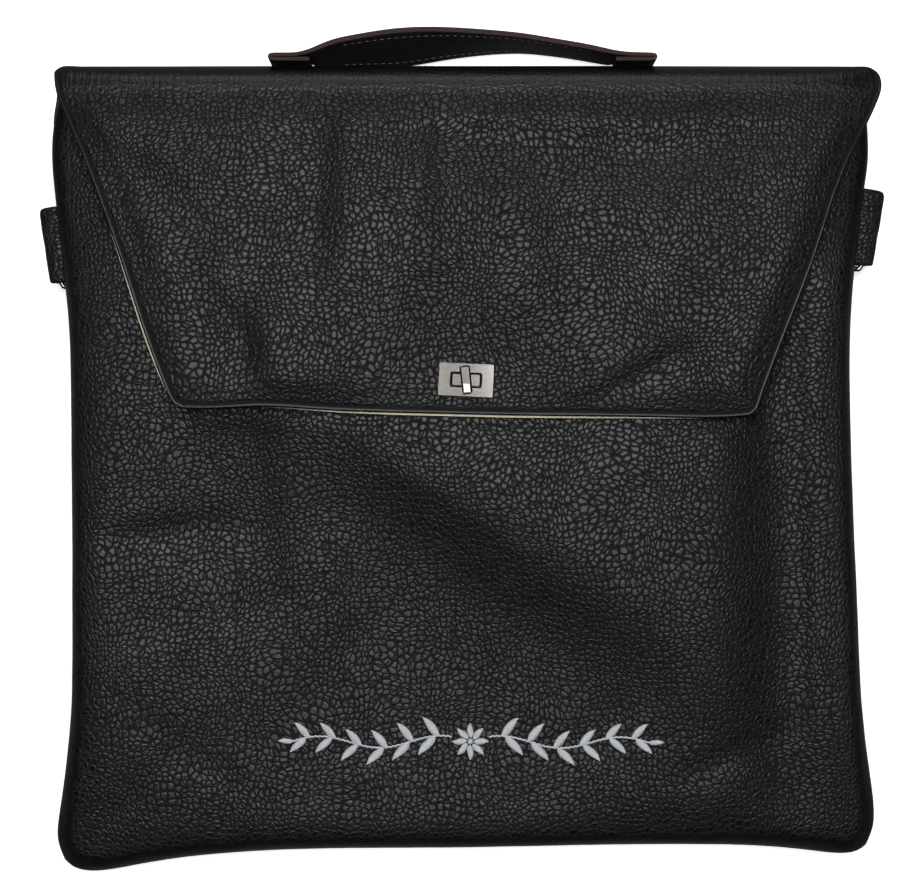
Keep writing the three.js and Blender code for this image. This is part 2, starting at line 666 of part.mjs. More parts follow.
// The turn lock: a plate round the flap's window, a boss on the front panel that fills the window,
// and a button on a neck that turns in the boss and holds the plate down.
const plateZ = flapZ(lockX, lockY) + seatGap;
const bossTopZ = plateZ + plateThick - bossRecess;

function lockPlate() {
  const shape = roundedRectangle(new THREE.Shape(), plateWidth, plateHeight, 0.6);
  shape.holes.push(roundedRectangle(new THREE.Path(), windowWidth, windowHeight, 1));
  const plate = new THREE.ExtrudeGeometry(shape, { depth: plateThick, bevelEnabled: false, curveSegments: 4 });
  return plate.applyMatrix4(plateFrame).translate(0, 0, plateZ);
}

function lockBoss() {
  const width = windowWidth - 2 * windowGap;
  const height = windowHeight - 2 * windowGap;
  const shape = roundedRectangle(new THREE.Shape(), width, height, 0.8);
  const bore = new THREE.Path();
  bore.absarc(0, 0, neckRadius + bearingGap, 0, 2 * Math.PI, false);
  shape.holes.push(bore);
  const low = lockSeatZ + seatGap;
  const boss = new THREE.ExtrudeGeometry(shape, {
    depth: bossTopZ - low, bevelEnabled: false, curveSegments: 8,
  });
  return boss.applyMatrix4(plateFrame).translate(0, 0, low);
}

function turnButton() {
  const chamfer = 0.8;
  const shape = roundedRectangle(new THREE.Shape(), buttonWidth - 2 * chamfer, buttonLength - 2 * chamfer, 0.4);
  const bar = new THREE.ExtrudeGeometry(shape, {
    depth: buttonThick - 2 * chamfer,
    bevelThickness: chamfer,
    bevelSize: chamfer,
    bevelSegments: 1,
    curveSegments: 2,
  });
  const lowZ = plateZ + plateThick + seatGap;
  bar.translate(0, 0, lowZ + chamfer);
  const neckFoot = lockSeatZ + 2 * seatGap;
  const neckLength = lowZ + chamfer - neckFoot;
  const neck = new THREE.CylinderGeometry(neckRadius, neckRadius, neckLength, 16);
  neck.rotateX(Math.PI / 2);
  neck.translate(0, 0, neckFoot + neckLength / 2);
  const button = geometryOf(solid(bar).add(solid(neck)));
  return button.rotateZ(radians(buttonTurn)).translate(lockX, lockY, 0);
}

add("front_panel", frontPanel(), leather);
add("back_panel", backPanel(), leather);
add("flap", flapLeather(), leather);
add("flap_lining", flapLining(), liningHide);
add("handle", handleStrap(), strapLeather);
tabRows.forEach(addTabAndRing);
add("lock_plate", lockPlate(), nickel);
add("lock_boss", lockBoss(), nickel);
add("turn_button", turnButton(), nickel);

export default bag;
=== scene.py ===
# %% [markdown]
# # A flat leather pouch with a turn lock
#
# The real thing is a pouch of soft black leather with a pebble grain. It lies on its back, with a wide flap
# folded over its top, a short strap as a handle, a loop with a ring on each side, and a small nickel lock. The
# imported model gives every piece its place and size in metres. This lesson keeps that frame and gives each piece
# the softness and the finish of the real one.

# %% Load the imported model
import math

import bmesh
import bpy
import numpy as np
from mathutils import Matrix, Vector, kdtree, noise
from mathutils.bvhtree import BVHTree


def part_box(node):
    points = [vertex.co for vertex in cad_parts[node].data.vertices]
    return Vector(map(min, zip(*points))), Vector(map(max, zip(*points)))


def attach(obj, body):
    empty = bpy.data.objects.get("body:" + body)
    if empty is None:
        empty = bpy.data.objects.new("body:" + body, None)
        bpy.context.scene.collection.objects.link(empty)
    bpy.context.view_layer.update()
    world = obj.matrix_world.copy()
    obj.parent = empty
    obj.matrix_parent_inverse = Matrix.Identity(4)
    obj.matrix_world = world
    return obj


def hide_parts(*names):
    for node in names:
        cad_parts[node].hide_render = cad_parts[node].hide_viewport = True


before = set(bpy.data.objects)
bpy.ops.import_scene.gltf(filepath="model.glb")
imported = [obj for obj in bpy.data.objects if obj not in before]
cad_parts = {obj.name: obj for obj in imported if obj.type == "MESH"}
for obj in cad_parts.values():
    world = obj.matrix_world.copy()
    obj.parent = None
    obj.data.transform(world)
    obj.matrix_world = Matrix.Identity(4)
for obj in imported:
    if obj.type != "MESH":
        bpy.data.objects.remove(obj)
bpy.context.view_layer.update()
MM = 0.001

# %% [markdown]
# ## Camera
#
# The photograph was taken from straight above the bag, so the camera looks down the Z axis. A camera that
# isn't turned already does that. Its distance of 0.9 metres is a guess: the near parts grow a little, where a
# long lens from far away would flatten the bag.

# %% Place the camera above the bag
CAMERA_PLACE = (-7.65 * MM, 7.4 * MM, 0.9)
LENS, SENSOR = 78.22, 36
bpy.ops.object.select_all(action="DESELECT")
bpy.ops.object.camera_add(location=CAMERA_PLACE, rotation=(0, 0, 0))
camera = bpy.context.object
camera.name = "camera_above"
camera.data.sensor_width, camera.data.lens = SENSOR, LENS
camera.data.clip_start = 0.01
bpy.context.scene.camera = camera
bpy.context.scene.view_settings.view_transform = "Standard"
print("camera at", [round(v, 4) for v in camera.location])

# %% [markdown]
# ## Helpers for nodes
#
# Every material is a small tree of nodes. These helpers make a node with its values and links in one line, so
# that a material reads almost like a formula.

# %% Helpers for nodes
def new_group(name, inputs, outputs):
    """An empty shader group with named sockets."""
    group = bpy.data.node_groups.new(name, "ShaderNodeTree")
    for label, kind, value in inputs:
        socket = group.interface.new_socket(name=label, in_out="INPUT", socket_type=kind)
        if value is not None:
            socket.default_value = value
    for label, kind in outputs:
        group.interface.new_socket(name=label, in_out="OUTPUT", socket_type=kind)
    entry = group.nodes.new("NodeGroupInput")
    exit_node = group.nodes.new("NodeGroupOutput")
    return group, entry, exit_node


def set_inputs(tree, node, **inputs):
    """Gives a node its values and links. An input goes by its label, or by its number as i0, i1 and so on."""
    for key, value in inputs.items():
        socket = node.inputs[int(key[1:]) if key[0] == "i" and key[1:].isdigit() else key.replace("_", " ")]
        if isinstance(value, bpy.types.NodeSocket):
            tree.links.new(value, socket)
        else:
            socket.default_value = value


def add_node(tree, kind, settings=None, **inputs):
    """A node with its settings, its values and its links in one call."""
    node = tree.nodes.new(kind)
    for key, value in (settings or {}).items():
        setattr(node, key, value)
    set_inputs(tree, node, **inputs)
    return node


def maths(tree, operation, a, b=0.0, c=0.0, clamp=False):
    """A Math node's result."""
    return add_node(
        tree, "ShaderNodeMath", {"operation": operation, "use_clamp": clamp}, i0=a, i1=b, i2=c
    ).outputs[0]


def remap(tree, value, low, high, to_low=0.0, to_high=1.0, kind="SMOOTHSTEP"):
    """A value spread from one range to another."""
    return add_node(
        tree, "ShaderNodeMapRange", {"interpolation_type": kind}, i0=value, i1=low, i2=high, i3=to_low, i4=to_high
    ).outputs[0]


def mix_colour(tree, factor, a, b):
    """Two colours mixed by a factor."""
    return add_node(tree, "ShaderNodeMix", {"data_type": "RGBA"}, i0=factor, i6=a, i7=b).outputs[2]


# %% Helpers for materials
def new_material(name):
    """A material with its Principled shader and the object's own coordinates."""
    material = bpy.data.materials.new(name)
    material.use_nodes = True
    tree = material.node_tree
    shader = tree.nodes["Principled BSDF"]
    place = tree.nodes.new("ShaderNodeTexCoord").outputs["Object"]
    return material, tree, shader, place


def mask_of(tree, name):
    """The value of a mask that was stored at the points of a piece."""
    return add_node(tree, "ShaderNodeAttribute", {"attribute_name": name}).outputs["Fac"]


def relief_to(tree, shader, height, depth):
    """Feeds a height to the shader's normal, with its depth in metres."""
    bump = add_node(tree, "ShaderNodeBump", Strength=1.0, Distance=depth, Height=height)
    set_inputs(tree, shader, Normal=bump.outputs["Normal"])


# %% [markdown]
# ## Floor and light
#
# Black leather shows its form through reflections and hardly through shade. Large soft lights in a ring round
# the camera put a pale rim on each pebble of the grain, which a painted highlight in the leather's colour
# strengthens, and the dim gap between them keeps its middle dark.
# Nothing bright stands near the horizon, so the steep sides fall off into black. The floor looks white to the
# camera but throws little light back, because that would fill those dark edges.

# %% Lay the floor
bpy.ops.object.select_all(action="DESELECT")
bpy.ops.mesh.primitive_plane_add(size=6, location=(0, 0, -0.0012))
floor = bpy.context.object
floor.name = "floor"
floor_paint, floor_tree, floor_shader, _ = new_material("floor_paint")
floor_seen = add_node(floor_tree, "ShaderNodeLightPath").outputs["Is Camera Ray"]
floor_tone = mix_colour(floor_tree, floor_seen, (0.14, 0.14, 0.14, 1), (0.96, 0.96, 0.96, 1))
floor_glow = maths(floor_tree, "MULTIPLY", floor_seen, 0.45)
set_inputs(floor_tree, floor_shader, Base_Color=floor_tone, Roughness=0.9, Specular_IOR_Level=0.1)
set_inputs(floor_tree, floor_shader, Emission_Color=(1, 1, 1, 1), Emission_Strength=floor_glow)
floor.data.materials.append(floor_paint)
print("floor at", floor.location.z / MM, "mm")


# %% Hang the lights
def soft_light(name, place, aim, size, power):
    """A rectangular area light at a place, turned towards a point."""
    bpy.ops.object.select_all(action="DESELECT")
    turn = (Vector(aim) - Vector(place)).to_track_quat("-Z", "Y").to_euler()
    bpy.ops.object.light_add(type="AREA", location=place, rotation=turn)
    light = bpy.context.object
    light.name = name
    light.data.shape = "RECTANGLE"
    light.data.size, light.data.size_y = size
    light.data.energy = power
    return light


soft_light("light_top", (0, 0.5, 1.3), (0, 0, 0), (1.0, 0.32), 10.8)
soft_light("light_behind", (0, 1.25, 0.62), (0, 0.15, 0), (1.2, 0.3), 5)
soft_light("light_left", (-0.45, 0.05, 1.3), (0, 0, 0), (0.3, 0.8), 5)
soft_light("light_right", (0.45, 0.08, 1.3), (0, 0, 0), (0.3, 0.8), 5)
soft_light("light_bottom", (0, -0.43, 1.3), (0, 0, 0), (1.0, 0.28), 2.7)

# %% Light the sky over the lights
world = bpy.data.worlds.new("studio")
bpy.context.scene.world = world
world.use_nodes = True
sky = world.node_tree
sky_way = add_node(sky, "ShaderNodeTexCoord").outputs["Generated"]
sky_up = add_node(sky, "ShaderNodeSeparateXYZ", i0=sky_way).outputs["Z"]
sky_height = remap(sky, sky_up, 0.86, 0.99, 0.02, 0.27, "LINEAR")
sky_seen = add_node(sky, "ShaderNodeLightPath").outputs["Is Camera Ray"]
sky_power = add_node(sky, "ShaderNodeMix", i0=sky_seen, i2=sky_height, i3=0.95).outputs[0]
set_inputs(sky, sky.nodes["Background"], Color=(0.95, 0.97, 1, 1), Strength=sky_power)
print("world", world.name)

# %% [markdown]
# ## Working on copies
#
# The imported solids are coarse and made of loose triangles. A soft piece starts as a copy of its solid: its
# doubled points are merged, its triangles joined to four-sided faces, and a Subdivision Surface rounds it. A
# loft drawn anew would need the same tables twice, and the copy is sure to lie where the solid lies.


# %% Helpers for copies
def make_active(piece):
    """Leaves one piece selected and active."""
    bpy.ops.object.select_all(action="DESELECT")
    piece.select_set(True)
    bpy.context.view_layer.objects.active = piece
    return piece


def merged_copy(node, name):
    """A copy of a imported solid, merged and with four-sided faces."""
    piece = bpy.data.objects.new(name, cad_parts[node].data.copy())
    piece.data.name = name
    bpy.context.collection.objects.link(piece)
    piece.data.materials.clear()
    make_active(piece)
    bpy.ops.object.mode_set(mode="EDIT")
    bpy.ops.mesh.select_all(action="SELECT")
    bpy.ops.mesh.remove_doubles(threshold=1e-6)
    bpy.ops.mesh.tris_convert_to_quads(
        face_threshold=math.pi, shape_threshold=math.pi, topology_influence=1.0
    )
    bpy.ops.object.mode_set(mode="OBJECT")
    return piece


def subdivide(piece, levels):
    """Rounds a piece with a Subdivision Surface and applies it."""
    make_active(piece)
    rounding = piece.modifiers.new("rounding", "SUBSURF")
    rounding.levels = rounding.render_levels = levels
    bpy.ops.object.modifier_apply(modifier=rounding.name)
    bpy.ops.object.shade_smooth()
    return piece


def face_outwards(piece):
    """Turns all faces of a piece outwards."""
    make_active(piece)
    bpy.ops.object.mode_set(mode="EDIT")
    bpy.ops.mesh.select_all(action="SELECT")
    bpy.ops.mesh.normals_make_consistent(inside=False)
    bpy.ops.object.mode_set(mode="OBJECT")


def bevel(piece, width, segments, angle=35):
    """Rounds the sharp edges of a hard piece."""
    make_active(piece)
    edge = piece.modifiers.new("edge", "BEVEL")
    edge.width, edge.segments = width, segments
    edge.limit_method, edge.angle_limit = "ANGLE", math.radians(angle)
    edge.use_clamp_overlap = True
    bpy.ops.object.modifier_apply(modifier=edge.name)
    bpy.ops.object.shade_smooth_by_angle(angle=math.radians(35))
    return piece


# %% Helpers for points
def points_of(mesh):
    """The points and normals of a mesh as arrays."""
    points = np.empty(len(mesh.vertices) * 3)
    mesh.vertices.foreach_get("co", points)
    normals = np.empty(len(mesh.vertices) * 3)
    mesh.vertex_normals.foreach_get("vector", normals)
    return points.reshape(-1, 3), normals.reshape(-1, 3)


def set_points(mesh, points):
    """Writes the points back."""
    mesh.vertices.foreach_set("co", points.ravel())
    mesh.update()


def add_mask(mesh, name, values):
    """A number at each point that a material can read."""
    mask = mesh.attributes.new(name=name, type="FLOAT", domain="POINT")
    mask.data.foreach_set("value", np.asarray(values, dtype=np.float32))


def smoothstep(low, high, value):
    """A soft step from 0 at low to 1 at high."""
    t = np.clip((value - low) / (high - low), 0, 1)
    return t * t * (3 - 2 * t)


# %% Helpers for the cut edge
def outline_distance(sharp_points, points):
    """How far each point lies from a set of outline points."""
    tree = kdtree.KDTree(len(sharp_points))
    for index, point in enumerate(sharp_points):
        tree.insert(point, index)
    tree.balance()
    return np.array([tree.find(point)[2] for point in points])


def sharp_outline(mesh, step=0.4 * MM):
    """Points along the edges where a panel's faces turn sharply, which is its cut outline."""
    work = bmesh.new()
    work.from_mesh(mesh)
    found = []
    for edge in work.edges:
        if edge.is_manifold and edge.calc_face_angle() > math.radians(55):
            a, b = (v.co.copy() for v in edge.verts)
            parts = max(1, int((b - a).length / step))
            found += [a.lerp(b, i / parts) for i in range(parts)]
    work.free()
    return found


# %% Helpers for the flat hide
def waves(points, scale, seed, stretch=(1, 1, 1)):
    """Smooth noise from -1 to 1 at each point, at so many waves a metre."""
    shift = Vector((seed * 7.3, seed * 3.1, seed * 5.7))
    factors = Vector(stretch) * scale
    return np.array([noise.noise(Vector(p) * factors + shift) for p in points])


def lay_pattern(mesh, across, along):
    """Stores where each point lay on the flat hide, in metres, as the UV map that the grain follows."""
    loops = np.empty(len(mesh.loops), dtype=np.int64)
    mesh.loops.foreach_get("vertex_index", loops)
    layer = mesh.uv_layers.new(name="hide")
    layer.data.foreach_set("uv", np.stack([across[loops], along[loops]], axis=1).ravel())


def unrolled(piece, step=2 * MM):
    """The way along the surface from the middle of a piece, sideways and lengthwise, at each point."""
    tree = BVHTree.FromObject(piece, bpy.context.evaluated_depsgraph_get())
    points, _ = points_of(piece.data)
    low, high = points.min(axis=0) - 2 * step, points.max(axis=0) + 2 * step
    xs, ys = np.arange(low[0], high[0], step), np.arange(low[1], high[1], step)
    heights = np.full((len(ys), len(xs)), 0.011)
    for row, y in enumerate(ys):
        for column, x in enumerate(xs):
            hit = tree.ray_cast(Vector((x, y, 0.1)), Vector((0, 0, -1)))[0]
            if hit:
                heights[row, column] = hit.z
    ways = []
    for axis, line in ((1, xs), (0, ys)):
        rise = np.diff(heights, axis=axis, prepend=np.take(heights, [0], axis=axis))
        way = np.cumsum(np.hypot(step, rise), axis=axis)
        middle = int(np.argmin(np.abs(line)))
        ways.append(way - np.take(way, [middle], axis=axis))
    columns = np.clip((points[:, 0] - low[0]) / step, 0, len(xs) - 1.001)
    rows = np.clip((points[:, 1] - low[1]) / step, 0, len(ys) - 1.001)
    i, j = columns.astype(int), rows.astype(int)
    s, t = columns - i, rows - j
    return [
        (w[j, i] * (1 - s) + w[j, i + 1] * s) * (1 - t) + (w[j + 1, i] * (1 - s) + w[j + 1, i + 1] * s) * t
        for w in ways
    ]


# %% [markdown]
# ## Folds
#
# Soft leather keeps the folds that its contents and its own weight have pressed into it. A cloth simulation
# makes such folds by itself, but not at chosen places. Here every fold is one row of a table, like one stroke of
# a sculpting brush: where it lies, how it is turned, how long, wide and high it is.

# %% Helpers for folds
def fold_strokes(points, strokes):
    """The height that a table of folds adds at each point. A ridge is high along its line. A step rises on the
    left of its line and sinks on the right, as steep on both. A negative height turns either upside down."""
    total = np.zeros(len(points))
    for kind, x, y, turn, length, left_width, right_width, height in strokes:
        angle = math.radians(turn)
        dx, dy = points[:, 0] / MM - x, points[:, 1] / MM - y
        along = (dx * math.cos(angle) + dy * math.sin(angle)) / (length / 2)
        aside = dy * math.cos(angle) - dx * math.sin(angle)
        width = np.where(aside > 0, left_width, right_width)
        aside, share = aside / width, width / max(left_width, right_width)
        fade = np.exp(-np.abs(along) ** 3)
        shape = np.exp(-aside ** 2) if kind == "ridge" else share * np.tanh(aside * 1.3) * np.exp(-(aside / 3) ** 2)
        total += height * MM * shape * fade
    return total


# %% How the bag has settled
def settled_sides(points):
    """Moves the upper sides of the body out by one or two millimetres, as the contents push them."""
    x, y = points[:, 0] / (178 * MM), points[:, 1]
    left = 1.4 * smoothstep(50 * MM, 95 * MM, y)
    right = 0.5 * smoothstep(50 * MM, 95 * MM, y) + 1.2 * smoothstep(115 * MM, 140 * MM, y)
    points[:, 0] += np.where(x < 0, left, right) * x * MM


def stretched_fold(points):
    """Draws the ends of the top fold out and fills their corners."""
    x, y = np.abs(points[:, 0]), points[:, 1]
    points[:, 1] += 0.9 * MM * smoothstep(171 * MM, 183 * MM, x) * smoothstep(156 * MM, 170 * MM, y)
    points[:, 0] *= 1 + 0.013 * smoothstep(135 * MM, 172 * MM, y)


# %% [markdown]
# ## Front of the pouch
#
# The front is one panel of soft leather, turned inwards and sewn to the back at the sides and the bottom. It
# swells over the folded contents and has settled into a few broad folds. The copy is rounded, and its points
# are then moved: up where the contents fill it, by small puckers where the seams pull, by soft uneven dents, and
# by the strokes of the table. Under the flap it stays quiet, to keep clear of the lining. The grain fades
# towards the seams, where the hide is stretched.

# %% Where the front has folded: kind, x, y, turn in degrees, length, width left and right of it, height, in mm
FRONT_FOLDS = [
    ("step", -4, -26, -34.3, 214, 9, 42, 8.8),
    ("ridge", 40, -34, -38, 100, 12, 8, 1.0),
    ("step", 129, -36, 91, 250, 17, 17, 5.2),
    ("ridge", 157, -40, 91, 190, 6, 6, 2.6),
    ("ridge", 145, 54, 69, 84, 8, 9, -3.2),
    ("ridge", -139, -33, 6, 80, 7, 7, -2.2),
    ("step", -82, -36, -83, 130, 12, 16, 2.8),
    ("ridge", -120, -70, 12, 90, 10, 10, -1.0),
    ("ridge", -62, -98, 55, 80, 10, 12, -1.2),
    ("ridge", -128, -128, -28, 56, 7, 8, -0.6),
    ("ridge", -108, -143, -20, 50, 6, 6, -0.6),
    ("ridge", -148, -112, -40, 36, 5, 6, -0.6),
    ("ridge", 4, -112, 84, 60, 8, 9, -1.1),
    ("ridge", 60, -120, 40, 70, 9, 9, -1.0),
    ("ridge", 118, -132, 24, 60, 6, 7, -1.3),
]


# %% Shape the front
SEAM_BAND = 19 * MM
SWELL = 3.2 * MM
front = merged_copy("front_panel", "front_leather")
front_outline = sharp_outline(front.data)
subdivide(front, 3)
front_points, _ = points_of(front.data)
front_edge = outline_distance(front_outline, front_points)
pucker = waves(front_points, 95, 3) * np.exp(-((front_edge - 5 * MM) / (5 * MM)) ** 2)
dents = waves(front_points, 26, 5, (1, 0.8, 1)) + 0.45 * waves(front_points, 60, 9)
open_part = smoothstep(10 * MM, 30 * MM, front_edge)
under_flap = np.abs(front_points[:, 0]) < (122 + 0.43 * np.maximum(0, front_points[:, 1] / MM - 20)) * MM
quiet = np.where(
    under_flap,
    smoothstep(26 * MM, 10 * MM, front_points[:, 1]),
    smoothstep(110 * MM, 60 * MM, front_points[:, 1]),
)
folds = fold_strokes(front_points, FRONT_FOLDS)
plump = smoothstep(0, 10 * MM, front_edge) * smoothstep(60 * MM, 18 * MM, front_edge)
front_points[:, 2] += (SWELL * plump + 0.5 * MM * pucker + (0.5 * MM * dents + folds) * open_part) * quiet
settled_sides(front_points)
set_points(front.data, front_points)
lay_pattern(front.data, *unrolled(front))
add_mask(front.data, "edge", front_edge / SEAM_BAND)
add_mask(front.data, "fold", np.zeros(len(front_points)))
add_mask(front.data, "stretched", smoothstep(SEAM_BAND, 4 * MM, front_edge))
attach(front, "bag"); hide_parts("front_panel")
print("front", len(front.data.polygons), "faces")

# %% [markdown]
# ## Back of the pouch
#
# The back is a panel of the same leather. It is flat where it rests and curls up to the seams. It needs no
# folds, so it is only rounded, and its upper sides move out with those of the front.

# %% Shape the back
back = merged_copy("back_panel", "back_leather")
back_outline = sharp_outline(back.data)
subdivide(back, 2)
back_points, _ = points_of(back.data)
back_edge = outline_distance(back_outline, back_points)
settled_sides(back_points)
set_points(back.data, back_points)
lay_pattern(back.data, back_points[:, 0] + 1, back_points[:, 1] + 1)
add_mask(back.data, "edge", back_edge / SEAM_BAND)
add_mask(back.data, "fold", np.zeros(len(back_points)))
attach(back, "bag"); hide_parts("back_panel")
print("back", len(back.data.polygons), "faces")

# %% [markdown]
# ## Flap
#
# The flap comes up from the seam on the back, turns over the top and narrows towards the lock. Its edge is
# turned under and pressed, which leaves a smooth bead with a groove beside it. Both come from each point's
# distance from the edge, so they follow the outline round every corner. The grain has to run on over the fold
# without a seam, so each point first gets its way along the flap, as if the flap were unrolled.

# %% The way round the fold
def along_profile(points):
    """The way along the flap from its back seam, over the fold and down the front, at each point."""
    middle = points[np.abs(points[:, 0]) < 6 * MM][:, 1:]
    centre = np.array([150 * MM, (middle[:, 1].max() + middle[:, 1].min()) / 2])
    turned = [(a, math.hypot(*(p - centre)), p) for p in middle if p[0] > centre[0]
              for a in [math.atan2(p[1] - centre[1], p[0] - centre[0])]]
    profile = []
    for k in range(-9, 10):
        angle = k * math.pi / 20
        near = [t for t in turned if abs(t[0] - angle) < math.pi / 36]
        if near:
            profile.append(max(near, key=lambda t: t[1])[2])
    front_line = [max((p for p in middle if abs(p[0] - y) < 4 * MM and p[1] > 0.02), key=lambda p: p[1], default=None)
                  for y in np.arange(0.15, 0.015, -0.008)]
    profile = np.array(profile + [p for p in front_line if p is not None])
    kept = np.hypot(*np.diff(profile, axis=0).T) > 0.2 * MM
    profile = profile[np.concatenate([[True], kept])]
    way = np.concatenate([[0], np.cumsum(np.hypot(*np.diff(profile, axis=0).T))])
    result = np.empty(len(points))
    a, b = profile[:-1], profile[1:]
    span = b - a
    for index, (_, y, z) in enumerate(points):
        t = np.clip(((y - a[:, 0]) * span[:, 0] + (z - a[:, 1]) * span[:, 1]) / (span ** 2).sum(axis=1), 0, 1)
        gap = (a[:, 0] + span[:, 0] * t - y) ** 2 + (a[:, 1] + span[:, 1] * t - z) ** 2
        best = int(np.argmin(gap))
        result[index] = way[best] + t[best] * math.hypot(*span[best])
    return result


# %% Where the flap has folded
FLAP_FOLDS = [
    ("step", -60, 122, 88, 92, 8, 8, -2.4),
    ("step", -15, 112, 92, 104, 8, 9, 2.4),
    ("step", -136, 131, -27, 84, 7, 9, 2.2),
    ("ridge", -110, 112, -40, 70, 9, 9, 1.8),
    ("step", -91, 46, 95, 56, 12, 7, -2.8),
    ("ridge", -112, 66, -58, 66, 9, 8, -2.2),
    ("ridge", 77, 37, 28, 60, 6, 10, -2.6),
    ("step", 34, 148, -5, 130, 6, 7, 2.0),
    ("step", 116, 150, 12, 70, 6, 6, 1.6),
    ("ridge", 92, 92, 60, 90, 18, 14, 2.2),
    ("step", 34, 92, 104, 84, 13, 12, 2.2),
    ("ridge", -150, 100, -66, 80, 7, 7, -2.0),
    ("ridge", -38, 62, 80, 60, 12, 12, 1.4),
]


# %% Shape the flap
TURNED_BAND = 10 * MM
DEEPEST_FOLD = 3.2 * MM
LOCK_X, LOCK_Y = -0.6 * MM, 35.4 * MM
flap = merged_copy("flap", "flap_leather")
flap_outline = sharp_outline(flap.data)
subdivide(flap, 3)
flap_points, flap_normals = points_of(flap.data)
flap_edge = outline_distance(flap_outline, flap_points)
lay_pattern(flap.data, flap_points[:, 0] + 2, along_profile(flap_points) + 2)
outer = smoothstep(0.2, 0.6, flap_normals[:, 2])
groove = -0.25 * MM * np.exp(-((flap_edge - 2.6 * MM) / (0.9 * MM)) ** 2)
soft = waves(flap_points, 24, 11, (1, 0.8, 1)) + 0.4 * waves(flap_points, 55, 13)
from_lock = np.hypot(flap_points[:, 0] - LOCK_X, flap_points[:, 1] - LOCK_Y)
free_part = smoothstep(12 * MM, 62 * MM, from_lock) * smoothstep(0, 15 * MM, flap_edge)
free_part *= smoothstep(165 * MM, 150 * MM, flap_points[:, 1]) * smoothstep(8 * MM, 14 * MM, flap_points[:, 2])
flap_folds = np.maximum(fold_strokes(flap_points, FLAP_FOLDS), -DEEPEST_FOLD) + DEEPEST_FOLD
flap_points[:, 2] += groove * outer + (0.35 * MM * (soft + 1) + flap_folds) * free_part
stretched_fold(flap_points)
set_points(flap.data, flap_points)
add_mask(flap.data, "edge", flap_edge / TURNED_BAND)
add_mask(flap.data, "fold", smoothstep(162 * MM, 171 * MM, flap_points[:, 1]))
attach(flap, "bag"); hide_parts("flap")
print("flap", len(flap.data.polygons), "faces")

# %% [markdown]
# ## Lining of the flap
#
# Inside the flap lies a thin tan hide. Its cut edge stands out a little and draws the pale line under the flap.
# It is the same kind of sheet, so it is made in the same way.

# %% Shape the lining
lining = merged_copy("flap_lining", "lining_hide_sheet")
subdivide(lining, 2)
lining_points, _ = points_of(lining.data)
lining_points[:, 0] *= 1.002
lining_points[:, 1] -= 0.15 * MM * smoothstep(40 * MM, 24 * MM, lining_points[:, 1])
stretched_fold(lining_points)
set_points(lining.data, lining_points)
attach(lining, "bag"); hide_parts("flap_lining")
print("lining", len(lining.data.polygons), "faces")

# %% [markdown]
# ## Handle
#
# The handle is a strap that stands on its edge and bows away from the fold, with both ends turned under and
# sewn down as feet. It has settled, so its rear edge hangs lower than its front edge on the left. The copy is
# rounded, and its points are then drawn down by how far back and how far left they lie, but no farther than
# there is room under the strap, and not at all on the feet. Its cut edges are painted reddish brown, and a row
# of stitches runs along each.

# %% Shape the handle
STRAP_WIDTH, STRAP_REAR, SEWN_LEVEL = 22, 2.5, 179.6  # in mm
handle = merged_copy("handle", "handle_strap")
bevel(handle, 0.35 * MM, 2, 50)
subdivide(handle, 2)
handle_points, _ = points_of(handle.data)
lowest, highest = handle_points[:, 2].min(), handle_points[:, 2].max()
handle_across = (handle_points[:, 2] - lowest) / (highest - lowest)
handle_points[:, 2] = (STRAP_REAR + STRAP_WIDTH * handle_across) * MM
handle_x = handle_points[:, 0] / MM
stations = [s for s in np.arange(-90, 90, 0.5) if (np.abs(handle_x - s) < 0.8).any()]
under = np.array([handle_points[np.abs(handle_x - s) < 0.8, 1].min() for s in stations])
room = np.maximum(0, np.interp(handle_x, stations, under) / MM - SEWN_LEVEL)
between_feet = smoothstep(-73, -70.5, handle_x) * smoothstep(69, 66, handle_x)
lean = np.minimum(0.4 + 5.6 * smoothstep(50, -45, handle_x), room)
lean = lean * (1 - handle_across) * between_feet
handle_points[:, 1] -= lean * MM
print("room under the strap", [round(float(u) / MM, 1) for u in under[::20]], "mm")
set_points(handle.data, handle_points)
add_mask(handle.data, "edge", np.minimum(handle_across, 1 - handle_across) * STRAP_WIDTH / 10)
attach(handle, "bag"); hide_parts("handle")
print("handle", len(handle.data.polygons), "faces")


# %% One stitch
def one_stitch(name, length, thick):
    """A short thread that dips into the leather at both ends, lying along X."""
    bpy.ops.object.select_all(action="DESELECT")
    bpy.ops.mesh.primitive_cylinder_add(vertices=6, radius=thick / 2, depth=length, rotation=(0, math.pi / 2, 0))
    stitch = bpy.context.object
    stitch.name = stitch.data.name = name
    bpy.ops.object.transform_apply(location=True, rotation=True, scale=True)
    bpy.ops.object.mode_set(mode="EDIT")
    for share in (-0.34, 0.0, 0.34):
        bpy.ops.mesh.select_all(action="SELECT")
        bpy.ops.mesh.bisect(plane_co=(share * length, 0, 0), plane_no=(1, 0, 0))
    bpy.ops.object.mode_set(mode="OBJECT")
    for vertex in stitch.data.vertices:
        share = abs(vertex.co.x) / (length / 2)
        slim = 1 - 0.45 * share ** 3
        vertex.co.y *= slim
        vertex.co.z = vertex.co.z * slim - thick * 0.9 * share ** 2.5
    return stitch


def copies_along(master, frames, name):
    """Copies of one small piece, each placed by its matrix, joined to one piece."""
    made = []
    for matrix in frames:
        twin = bpy.data.objects.new(name, master.data.copy())
        bpy.context.collection.objects.link(twin)
        twin.data.transform(matrix)
        made.append(twin)
    bpy.ops.object.select_all(action="DESELECT")
    for twin in made:
        twin.select_set(True)
    bpy.context.view_layer.objects.active = made[0]
    bpy.ops.object.join()
    joined = bpy.context.object
    joined.name = joined.data.name = name
    bpy.ops.object.shade_smooth()
    return joined


stitch = one_stitch("stitch_master", 2.6 * MM, 0.55 * MM)
print("stitch", len(stitch.data.polygons), "faces")

